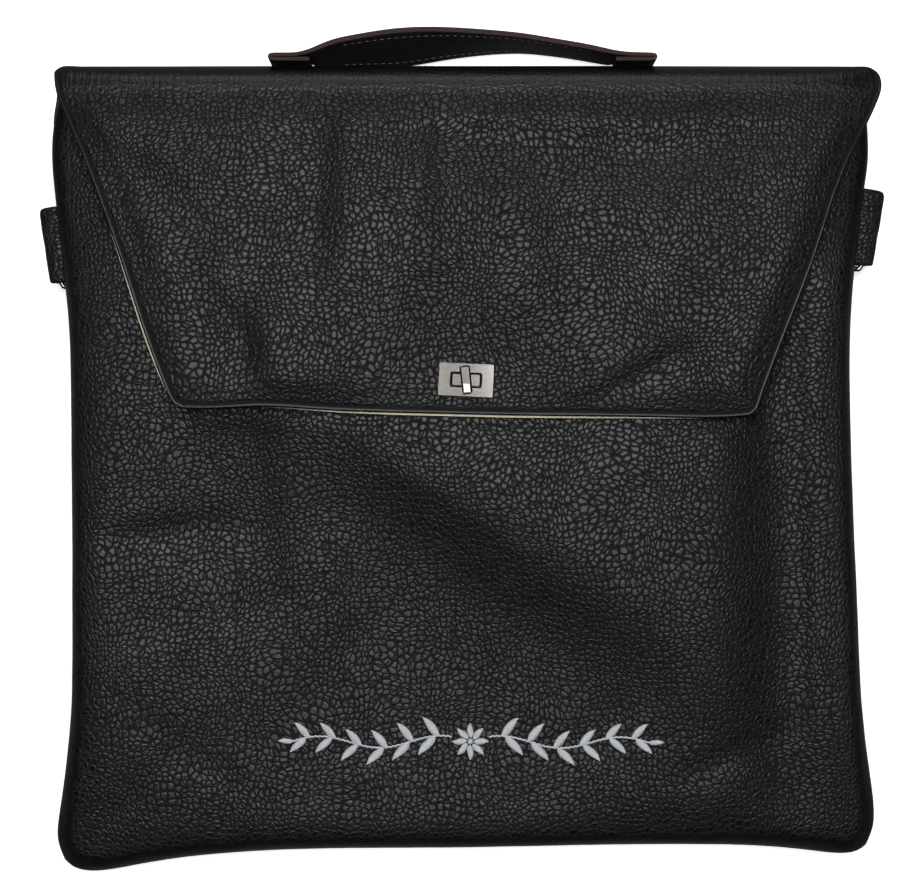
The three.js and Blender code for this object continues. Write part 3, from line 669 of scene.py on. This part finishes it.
# %% Sew along the handle
handle_tree = BVHTree.FromObject(handle, bpy.context.evaluated_depsgraph_get())
handle_seam = []
for height in (5.6 * MM, 21.4 * MM):
    for start, way, reach in ((0.24, -1, 25), (0.1796, 1, 16)):
        for k in range(-reach, reach + 1):
            x = (3.3 * k - 2) * MM
            hit, normal, _, _ = handle_tree.ray_cast(Vector((x, start, height)), Vector((0, way, 0)))
            ahead, _, _, _ = handle_tree.ray_cast(Vector((x + 1 * MM, start, height)), Vector((0, way, 0)))
            if hit and ahead and normal.y * way < 0 and abs(ahead.y - hit.y) < 1 * MM:
                along = (ahead - hit).normalized()
                side = normal.cross(along).normalized()
                basis = Matrix((along, side, normal)).transposed().to_4x4()
                handle_seam.append(Matrix.Translation(hit + normal * 0.1 * MM) @ basis)
handle_stitches = copies_along(stitch, handle_seam, "handle_stitches")
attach(handle_stitches, "bag")
print("handle stitches", len(handle_seam))

# %% [markdown]
# ## Side tabs
#
# Each tab is a strip of the pebbled leather, folded in a loop round the ring's bar and sewn into the side seam.
# A flat grid is wrapped round the bar point by point, so its place on the flat strip is known for the grain,
# which is a fifth smaller here. A Solidify gives the strip its wall. The upper end of its rear layer is cut back
# where the ring's corner lies.


# %% Wrap the tabs
def tab_loop(name, middle, along, side, reach):
    """A strip wrapped round the ring's bar. Middle is the bar's middle in mm and along the bar's direction."""
    droop, radius, length = math.radians(24), 2.45, 35.0
    bar_x = reach - 4.25
    along = Vector(along).normalized()
    away = Vector((along.y * side, -along.x * side, 0))
    outward = Vector((away.x * math.cos(droop), away.y * math.cos(droop), -math.sin(droop)))
    forward = Vector((away.x * math.sin(droop), away.y * math.sin(droop), math.cos(droop)))
    root = Vector(middle) + along * 1.65 - outward * bar_x
    inner = -3.2
    flat, turn = math.hypot(bar_x - inner, radius - 0.95), math.pi * radius
    whole = 2 * flat + turn
    bpy.ops.object.select_all(action="DESELECT")
    bpy.ops.mesh.primitive_grid_add(x_subdivisions=22, y_subdivisions=16, size=1)
    tab = bpy.context.object
    tab.name = tab.data.name = name
    count = len(tab.data.vertices)
    across, lengthwise = np.empty(count), np.empty(count)
    for index, vertex in enumerate(tab.data.vertices):
        way, share = (vertex.co.x + 0.5) * whole, vertex.co.y * 2
        if way < flat:
            x, z = inner + (bar_x - inner) * way / flat, radius - 3.3 * (1 - way / flat) ** 2
        elif way > flat + turn:
            rest = (whole - way) / flat
            x, z = inner + (bar_x - inner) * rest, -radius - 0.15 * (1 - rest)
        else:
            angle = math.pi / 2 - (way - flat) / radius
            x, z = bar_x + radius * math.cos(angle), radius * math.sin(angle)
        outer_share = max(0, x) / (bar_x + radius)
        x += outer_share * (1.7 + 0.8 * share)
        high = length / 2 - 1.1 * min(1, outer_share) ** 6
        low = -high
        high -= 3.4 * max(0, min(1, (way - flat - turn * 0.3) / 1.2))
        y = low + (high - low) * (share + 1) / 2
        bulge = 0.22 * math.sin(way * 1.7 + y * 0.4) * (1 - abs(share)) * (0 < z)
        vertex.co = (root + outward * (x + 0.4 * bulge) + along * y + forward * (z + bulge)) * MM
        across[index], lengthwise[index] = way * 1.25 * MM + 3 + side, y * 1.25 * MM + 3
    lay_pattern(tab.data, across, lengthwise)
    make_active(tab)
    wall = tab.modifiers.new("wall", "SOLIDIFY")
    wall.thickness, wall.offset = 1.5 * MM, 0
    bpy.ops.object.modifier_apply(modifier=wall.name)
    face_outwards(tab)
    tab_outline = sharp_outline(tab.data)
    subdivide(tab, 2)
    tab_points, _ = points_of(tab.data)
    add_mask(tab.data, "edge", outline_distance(tab_outline, tab_points) / (10 * MM) * 2.2 + 0.12)
    add_mask(tab.data, "fold", np.zeros(len(tab_points)))
    return tab


tabs = []
for side_name, middle, along, side, reach in (
    ("left", (-187.727, 95.863, 8.983), (-0.11205, 0.99370, 0), -1, 8.5),
    ("right", (183.255, 103.815, 8.271), (0.12914, 0.99163, 0), 1, 9.6),
):
    tab = tab_loop(f"tab_loop_{side_name}", middle, along, side, reach)
    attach(tab, "bag"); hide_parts(f"side_tab_{side_name}")
    low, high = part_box(f"side_tab_{side_name}")
    made_low, made_high = Vector(np.min(points_of(tab.data)[0], axis=0)), Vector(np.max(points_of(tab.data)[0], axis=0))
    print(tab.name, [round(v / MM, 1) for v in (*made_low, *made_high)])
    print("packed", [round(v / MM, 1) for v in (*low, *high)])
    tabs.append(tab)

# %% [markdown]
# ## Rings and lock
#
# The rings are bent from round wire, so a Subdivision Surface rounds their coarse copies. The lock is polished:
# a narrow bevel gives its edges the width that catches the light, and its flat faces stay flat.

# %% Round the rings
rings = []
for side in ("left", "right"):
    ring = merged_copy(f"d_ring_{side}", f"wire_ring_{side}")
    subdivide(ring, 2)
    ring_points, ring_normals = points_of(ring.data)
    set_points(ring.data, ring_points + ring_normals * 0.1 * MM)
    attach(ring, f"ring_{side}"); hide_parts(f"d_ring_{side}")
    rings.append(ring)
print("rings", [r.name for r in rings])

# %% Bevel the lock
metal = []
for node, name, width, body in (
    ("lock_plate", "plate_polished", 0.45 * MM, "bag"),
    ("lock_boss", "boss_polished", 0.3 * MM, "bag"),
    ("turn_button", "button_polished", 0.45 * MM, "turn_button"),
):
    part = merged_copy(node, name)
    if node == "turn_button":
        make_active(part)
        bpy.ops.object.mode_set(mode="EDIT")
        bpy.ops.mesh.select_all(action="SELECT")
        bpy.ops.mesh.bisect(plane_co=(LOCK_X, 33.6 * MM, 0), plane_no=(0.105, 0.995, 0))
        bpy.ops.object.mode_set(mode="OBJECT")
        button_points, _ = points_of(part.data)
        toe = (button_points[:, 1] < 31 * MM) & (button_points[:, 2] > button_points[:, 2].max() - 0.2 * MM)
        button_points[toe, 2] -= 0.6 * MM
        set_points(part.data, button_points)
    if node == "lock_boss":
        boss_points, _ = points_of(part.data)
        middle = (boss_points.max(axis=0) + boss_points.min(axis=0)) / 2
        slim = np.where(boss_points[:, 2:] > middle[2], [[0.9, 0.84]], [[1, 1]])
        boss_points[:, :2] = middle[:2] + (boss_points[:, :2] - middle[:2]) * slim
        set_points(part.data, boss_points)
    bevel(part, width, 3)
    for face in part.data.polygons:
        face.use_smooth = 0.02 < abs(face.normal.z) < 0.995
    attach(part, body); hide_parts(node)
    metal.append(part)
print("lock", [p.name for p in metal])

# %% [markdown]
# ## Embroidered band
#
# A band of satin stitch runs across the lower front. Satin stitch is a row of threads laid side by side over
# the width of each leaf, so every leaf is built of single threads. One leaf is sewn, then copied along a wavy
# stem and mirrored, and every point is at last lifted by the height of the leather under it.


# %% Sew one leaf
def satin_leaf(name, length, width, thick=0.5 * MM):
    """A pointed leaf along X of threads that lie side by side across it."""
    count = int(length / (thick * 0.82))
    frames = []
    for k in range(count):
        share = (k + 0.5) / count
        half = width / 2 * math.sin(math.pi * share ** 0.8) ** 0.75
        spread = max(half * 2, 0.8 * MM) / length
        lean_matrix = Matrix.Rotation(math.radians(62), 4, "Z")
        stretch = Matrix.Diagonal((spread, 1, 1, 1))
        lift = Matrix.Translation((share * length, 0, (0.25 + 0.35 * half / (width / 2)) * MM))
        frames.append(lift @ lean_matrix @ stretch)
    thread = one_stitch(name + "_thread", length, thick)
    leaf = copies_along(thread, frames, name)
    bpy.data.objects.remove(thread, do_unlink=True)
    return leaf


leaf = satin_leaf("leaf_master", 11 * MM, 4.4 * MM)
petal = satin_leaf("petal_master", 6.4 * MM, 3.4 * MM)
print("leaf", len(leaf.data.polygons), "faces, petal", len(petal.data.polygons))

# %% Lay out the band
band_middle = Vector((1.5, -126.5, 0)) * MM


def stem_point(way):
    """The stem's place at a way from the middle in mm."""
    return Vector((way, 2.6 * math.sin(way / 81 * math.pi * 3), 0)) * MM


leaf_frames, petal_frames, stem_frames = [], [], []
for mirror in (1, -1):
    flip = Matrix.Diagonal((mirror, 1, 1, 1))
    for k in range(6):
        way = 14 + k * 11.6
        for up in (1, -1):
            turn = Matrix.Rotation(math.radians(up * (48 - k)), 4, "Z")
            size = Matrix.Scale(1.0 - 0.03 * k, 4)
            leaf_frames.append(flip @ Matrix.Translation(stem_point(way + (2 if up < 0 else 0))) @ turn @ size)
    leaf_frames.append(flip @ Matrix.Translation(stem_point(79.5)) @ Matrix.Scale(0.62, 4))
    for k in range(35):
        way = 9.5 + k * 2.05
        ahead = (stem_point(way + 1) - stem_point(way)).normalized()
        turn = Matrix.Rotation(math.atan2(ahead.y, ahead.x) + math.radians(12), 4, "Z")
        spot = Matrix.Translation(stem_point(way) + Vector((0, 0, 0.2 * MM)))
        stem_frames.append(flip @ spot @ turn @ Matrix.Diagonal((1.15, 1.5, 1, 1)))
for k in range(8):
    turn = Matrix.Rotation(math.radians(45 * k), 4, "Z")
    petal_frames.append(turn @ Matrix.Translation((1.7 * MM, 0, 0)))
for k in range(4):
    turn, spot = Matrix.Rotation(math.radians(45 * k), 4, "Z"), Matrix.Translation((0, 0, 0.5 * MM))
    stem_frames.append(turn @ spot @ Matrix.Diagonal((1.1, 1.3, 1, 1)))
print("band", len(leaf_frames), "leaves", len(stem_frames), "stem stitches")

# %% Sew the band to the front
front_tree = BVHTree.FromObject(front, bpy.context.evaluated_depsgraph_get())
band_parts = [
    copies_along(leaf, leaf_frames, "band_leaves"),
    copies_along(petal, petal_frames, "band_flower"),
    copies_along(stitch, stem_frames, "band_stem"),
]
for part in band_parts:
    for vertex in part.data.vertices:
        spot = vertex.co + band_middle
        ground = front_tree.ray_cast(Vector((spot.x, spot.y, 0.1)), Vector((0, 0, -1)))[0]
        vertex.co = Vector((spot.x, spot.y, ground.z + vertex.co.z))
    face_outwards(part)
    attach(part, "bag")
for master in (leaf, petal, stitch):
    bpy.data.objects.remove(master, do_unlink=True)
print("band", sum(len(part.data.polygons) for part in band_parts), "faces")


# %% [markdown]
# ## Leather grain as a node group
#
# Pebble grain is a net of soft creases round domed cells of two to four millimetres. Voronoi cells bent by a
# little noise give the net, and the distances to the nearest crease and to the middle of the cell give the dome
# and its slightly sunk top. A coarser net adds the deeper creases that gather the cells. The group puts out a
# height, a mask of the creases, which the leather uses for roughness and for painted shade, a mask of the rims
# where the leather paints a highlight, and a slow cloud, and its inputs set the size of the cells and where the
# grain fades.

# %% The pebble grain group
def pebble_grain_group():
    """Height, crease, and rim for a painted highlight, of a pebbled hide at a place on the flat hide in metres."""
    tree, entry, exit_node = new_group(
        "pebble_grain",
        [
            ("Place", "NodeSocketVector", None),
            ("Cells", "NodeSocketFloat", 245.0),
            ("Amount", "NodeSocketFloat", 1.0),
        ],
        [(label, "NodeSocketFloat") for label in ("Height", "Crease", "PaintedRimHighlight", "Cloud")],
    )
    place, cells, amount = (entry.outputs[k] for k in ("Place", "Cells", "Amount"))

    def bent(by, scale, reach, detail):
        noise_node = add_node(tree, "ShaderNodeTexNoise", Vector=by, Scale=scale, Detail=detail)
        centred = add_node(
            tree, "ShaderNodeVectorMath", {"operation": "SUBTRACT"}, i0=noise_node.outputs["Color"], i1=(0.5, 0.5, 0.5)
        )
        small = add_node(tree, "ShaderNodeVectorMath", {"operation": "SCALE"}, i0=centred.outputs[0], Scale=reach)
        return add_node(tree, "ShaderNodeVectorMath", {"operation": "ADD"}, i0=by, i1=small.outputs[0]).outputs[0]

    def creases(by, count, randomness):
        return add_node(
            tree, "ShaderNodeTexVoronoi", {"voronoi_dimensions": "2D", "feature": "DISTANCE_TO_EDGE"},
            Vector=by, Scale=count, Randomness=randomness,
        ).outputs["Distance"]

    slow = bent(place, 28.0, 0.016, 1.0)
    wavy = bent(slow, 420.0, 0.0017, 2.0)
    edge = creases(wavy, cells, 0.82)
    from_middle = add_node(
        tree, "ShaderNodeTexVoronoi", {"voronoi_dimensions": "2D"}, Vector=wavy, Scale=cells, Randomness=0.82
    ).outputs["Distance"]
    round_off = remap(tree, from_middle, 0.66, 0.4)
    coarse = creases(wavy, maths(tree, "MULTIPLY", cells, 0.31), 1.0)
    cloud = add_node(tree, "ShaderNodeTexNoise", Vector=place, Scale=42.0, Detail=3.0).outputs["Fac"]
    specks = add_node(tree, "ShaderNodeTexNoise", Vector=place, Scale=1300.0, Detail=2.0).outputs["Fac"]
    pores = add_node(tree, "ShaderNodeTexNoise", Vector=place, Scale=2400.0, Detail=3.0).outputs["Fac"]
    dome = maths(tree, "POWER", remap(tree, edge, 0.03, 0.3, kind="LINEAR"), 0.7)
    dome = maths(tree, "MULTIPLY", dome, maths(tree, "MULTIPLY_ADD", round_off, 0.5, 0.5))
    sunk = maths(tree, "MULTIPLY", remap(tree, from_middle, 0.3, 0.05), -0.22)
    bulge = maths(tree, "MULTIPLY_ADD", maths(tree, "MULTIPLY", from_middle, from_middle), -2.2, 0.5)
    dome = maths(tree, "ADD", maths(tree, "MULTIPLY_ADD", bulge, 0.5, dome), sunk)
    furrow = remap(tree, coarse, 0.0, 0.06)
    depth = remap(tree, cloud, 0.3, 0.7, 0.7, 1.15, "LINEAR")
    relief = maths(tree, "MULTIPLY", maths(tree, "MULTIPLY_ADD", furrow, 0.3, dome), depth)
    fine = maths(tree, "MULTIPLY_ADD", specks, 0.42, maths(tree, "MULTIPLY", pores, 0.1))
    tree.links.new(maths(tree, "MULTIPLY_ADD", relief, amount, fine), exit_node.inputs["Height"])
    whole = maths(tree, "MULTIPLY", remap(tree, edge, 0.03, 0.22), remap(tree, coarse, 0.0, 0.07))
    whole = maths(tree, "MULTIPLY", whole, remap(tree, from_middle, 0.72, 0.5))
    tree.links.new(maths(tree, "MULTIPLY", maths(tree, "SUBTRACT", 1.0, whole), amount), exit_node.inputs["Crease"])
    # The rim is a ring just inside the edge of each cell, broken up by specks; the leather paints a highlight there.
    ring = maths(tree, "MULTIPLY", remap(tree, edge, 0.1, 0.2), remap(tree, edge, 0.44, 0.26))
    painted_rim_highlight = maths(tree, "MULTIPLY", ring, remap(tree, specks, 0.44, 0.62))
    tree.links.new(maths(tree, "MULTIPLY", painted_rim_highlight, amount), exit_node.inputs["PaintedRimHighlight"])
    tree.links.new(cloud, exit_node.inputs["Cloud"])
    return tree


pebble_grain = pebble_grain_group()
print("group", pebble_grain.name, [s.name for s in pebble_grain.interface.items_tree])


# %% [markdown]
# ## Pebbled leather
#
# Black leather is almost without colour: what shows is the gloss on each pebble and the dull crease round it. A
# painted picture of the grain would look flat from the side. So the grain is a relief on the UV map of the flat
# hide, the creases are rougher than the pebbles, and masks stored at the points smooth it at turned edges, on
# the fold and where the hide is stretched. A piece that has no such mask reads 0 for it. The colour also paints
# shade into the creases and the groove by the turned edge, and a highlight on the rim of each pebble.

# %% Pebbled leather
def pebbled_leather_material():
    """Black leather with a pebble grain that fades at turned edges, on the fold and where it is stretched, with
    painted shade in its creases and a painted highlight on the rim of each pebble.
    """
    material, tree, shader, place = new_material("pebbled_leather")
    hide = add_node(tree, "ShaderNodeUVMap", {"uv_map": "hide"}).outputs[0]
    edge, fold = mask_of(tree, "edge"), mask_of(tree, "fold")
    amount = maths(tree, "MULTIPLY", remap(tree, edge, 0.2, 0.42), maths(tree, "MULTIPLY_ADD", fold, -0.85, 1.0))
    unstretched = maths(tree, "SUBTRACT", 1.0, mask_of(tree, "stretched"))
    amount = maths(tree, "MULTIPLY", amount, maths(tree, "MULTIPLY_ADD", unstretched, 0.85, 0.15))
    grain = add_node(tree, "ShaderNodeGroup", {"node_tree": pebble_grain}, Place=hide, Amount=amount, Cells=375.0)
    drawn_out = add_node(tree, "ShaderNodeMapping", Vector=place, Scale=(620.0, 45.0, 80.0)).outputs[0]
    wrinkle = add_node(tree, "ShaderNodeTexNoise", Vector=drawn_out, Scale=1.0, Detail=3.0).outputs["Fac"]
    fine_folds = maths(tree, "MULTIPLY", maths(tree, "MULTIPLY", wrinkle, fold), 1.6)
    off_crown = maths(tree, "MULTIPLY_ADD", edge, 12.5, -1.0)
    bead = maths(tree, "SUBTRACT", 1.0, maths(tree, "MULTIPLY", off_crown, off_crown), clamp=True)
    bead = maths(tree, "MULTIPLY", bead, unstretched)
    groove = maths(tree, "MULTIPLY", remap(tree, edge, 0.13, 0.19), remap(tree, edge, 0.36, 0.27))
    groove = maths(tree, "MULTIPLY", groove, unstretched)
    turned = maths(tree, "MULTIPLY_ADD", groove, -0.35, maths(tree, "MULTIPLY", bead, 0.85))
    height = maths(tree, "ADD", maths(tree, "ADD", grain.outputs["Height"], fine_folds), turned)
    relief_to(tree, shader, height, 0.00023)
    crease = maths(tree, "MAXIMUM", grain.outputs["Crease"], groove)
    # Painted shade: the creases of the grain and the groove by the turned edge get a darker colour than the pebbles.
    dark = mix_colour(tree, crease, (0.002, 0.002, 0.0022, 1), (0.0003, 0.0003, 0.0003, 1))
    # Painted highlight: the broken rim of each pebble gets a paler colour than the rest of the pebble.
    colour = mix_colour(tree, grain.outputs["PaintedRimHighlight"], dark, (0.018, 0.018, 0.019, 1))
    slow = add_node(tree, "ShaderNodeTexNoise", Vector=place, Scale=11.0, Detail=2.0).outputs["Fac"]
    worn = maths(tree, "MULTIPLY_ADD", slow, 0.16, maths(tree, "MULTIPLY_ADD", grain.outputs["Cloud"], 0.12, 0.16))
    rough = maths(tree, "MULTIPLY_ADD", crease, 0.6, worn)
    set_inputs(tree, shader, Base_Color=colour, Roughness=rough, Specular_IOR_Level=0.3)
    return material


pebbled_leather = pebbled_leather_material()
for piece in (front, back, flap, *tabs):
    piece.data.materials.append(pebbled_leather)
print("material", pebbled_leather.name, len(pebbled_leather.node_tree.nodes), "nodes")


# %% [markdown]
# ## Strap leather
#
# The handle is cut from firm, smooth leather, and its raw edges are sealed with a reddish paint. The mask of the
# edge tells paint and leather apart, and it also draws the shallow groove that the stitches lie in.

# %% Strap leather
def strap_leather_material():
    """Smooth black strap leather with a fine grain and painted cut edges."""
    material, tree, shader, place = new_material("strap_leather")
    edge = mask_of(tree, "edge")
    grain = add_node(
        tree, "ShaderNodeTexVoronoi", {"feature": "DISTANCE_TO_EDGE"}, Vector=place, Scale=900.0
    ).outputs["Distance"]
    specks = add_node(tree, "ShaderNodeTexNoise", Vector=place, Scale=1500.0, Detail=3.0).outputs["Fac"]
    lengthwise = add_node(tree, "ShaderNodeMapping", Vector=place, Scale=(60.0, 300.0, 900.0)).outputs[0]
    streaks = add_node(tree, "ShaderNodeTexNoise", Vector=lengthwise, Scale=1.0, Detail=3.0).outputs["Fac"]
    painted = remap(tree, edge, 0.07, 0.04)
    groove = maths(tree, "MULTIPLY", remap(tree, edge, 0.24, 0.28), remap(tree, edge, 0.36, 0.32))
    height = maths(tree, "MULTIPLY_ADD", specks, 0.5, remap(tree, grain, 0.0, 0.25))
    height = maths(tree, "MULTIPLY_ADD", groove, -2.0, maths(tree, "ADD", height, streaks))
    relief_to(tree, shader, height, 0.00008)
    # Painted shade: the creases of the fine grain are darker than the leather between them.
    dark = mix_colour(tree, remap(tree, grain, 0.0, 0.12), (0.003, 0.003, 0.003, 1), (0.0085, 0.008, 0.008, 1))
    paint = mix_colour(tree, streaks, (0.011, 0.0045, 0.004, 1), (0.028, 0.011, 0.009, 1))
    colour = mix_colour(tree, painted, dark, paint)
    rough = maths(tree, "MULTIPLY_ADD", painted, 0.3, maths(tree, "MULTIPLY_ADD", specks, 0.2, 0.32))
    set_inputs(tree, shader, Base_Color=colour, Roughness=rough, Specular_IOR_Level=0.3)
    return material


handle.data.materials.append(strap_leather_material())
print("material", handle.data.materials[0].name)


# %% [markdown]
# ## Threads
#
# Embroidery thread is twisted from fine plies that shine a little. The threads are real geometry already, so the
# material only adds the plies and a slow change of tone. One function makes the silver and the black.

# %% Threads
def thread_material(name, dark, pale):
    """A twisted, slightly shiny thread."""
    material, tree, shader, place = new_material(name)
    plies = add_node(tree, "ShaderNodeTexNoise", Vector=place, Scale=3800.0, Detail=2.0).outputs["Fac"]
    cloud = add_node(tree, "ShaderNodeTexNoise", Vector=place, Scale=160.0, Detail=2.0).outputs["Fac"]
    tone = maths(tree, "MULTIPLY_ADD", plies, 0.6, maths(tree, "MULTIPLY", cloud, 0.4))
    colour, rough = mix_colour(tree, tone, dark, pale), maths(tree, "MULTIPLY_ADD", cloud, 0.2, 0.34)
    set_inputs(tree, shader, Base_Color=colour, Roughness=rough, Specular_IOR_Level=0.5)
    relief_to(tree, shader, plies, 0.00006)
    return material


silver_thread = thread_material("silver_thread", (0.30, 0.31, 0.33, 1), (0.50, 0.52, 0.54, 1))
black_thread = thread_material("black_thread", (0.01, 0.009, 0.009, 1), (0.04, 0.037, 0.037, 1))
for piece in band_parts:
    piece.data.materials.append(silver_thread)
handle_stitches.data.materials.append(black_thread)
print("materials", silver_thread.name, black_thread.name)


# %% [markdown]
# ## Lining hide
#
# The lining is undyed hide with its fibres open at the cut, so it is matt and a little uneven in tone.

# %% Lining hide
def lining_hide_material():
    """Undyed tan hide with short fibres."""
    material, tree, shader, place = new_material("lining_hide")
    fibres = add_node(tree, "ShaderNodeTexNoise", Vector=place, Scale=1400.0, Detail=5.0).outputs["Fac"]
    cloud = add_node(tree, "ShaderNodeTexNoise", Vector=place, Scale=70.0, Detail=3.0).outputs["Fac"]
    tan = mix_colour(tree, cloud, (0.60, 0.51, 0.38, 1), (0.78, 0.70, 0.56, 1))
    fibre_share = maths(tree, "MULTIPLY", fibres, 0.35)
    colour = mix_colour(tree, fibre_share, tan, (0.36, 0.28, 0.19, 1))
    set_inputs(tree, shader, Base_Color=colour, Roughness=0.85)
    relief_to(tree, shader, fibres, 0.0001)
    return material


lining.data.materials.append(lining_hide_material())
print("material", lining.data.materials[0].name)


# %% [markdown]
# ## Nickel
#
# Nickel plating is a warm grey metal. It is all reflection, so it gets low roughness and fine scratches along
# the polish, which stretch the highlights a little.

# %% Nickel
def nickel_material():
    """Polished nickel with hair-fine scratches."""
    material, tree, shader, place = new_material("nickel")
    lengthwise = add_node(tree, "ShaderNodeMapping", Vector=place, Scale=(300.0, 6000.0, 3000.0)).outputs[0]
    hair = add_node(tree, "ShaderNodeTexNoise", Vector=lengthwise, Scale=1.0, Detail=2.0).outputs["Fac"]
    cloud = add_node(tree, "ShaderNodeTexNoise", Vector=place, Scale=260.0, Detail=3.0).outputs["Fac"]
    tone = mix_colour(tree, cloud, (0.37, 0.345, 0.325, 1), (0.40, 0.375, 0.35, 1))
    rough = maths(tree, "MULTIPLY_ADD", hair, 0.04, 0.09)
    set_inputs(tree, shader, Base_Color=tone, Metallic=1.0, Roughness=rough)
    relief_to(tree, shader, hair, 0.0000006)
    return material


nickel = nickel_material()
for piece in rings + metal:
    piece.data.materials.append(nickel)
print("material", nickel.name, "on", len(rings + metal), "pieces")
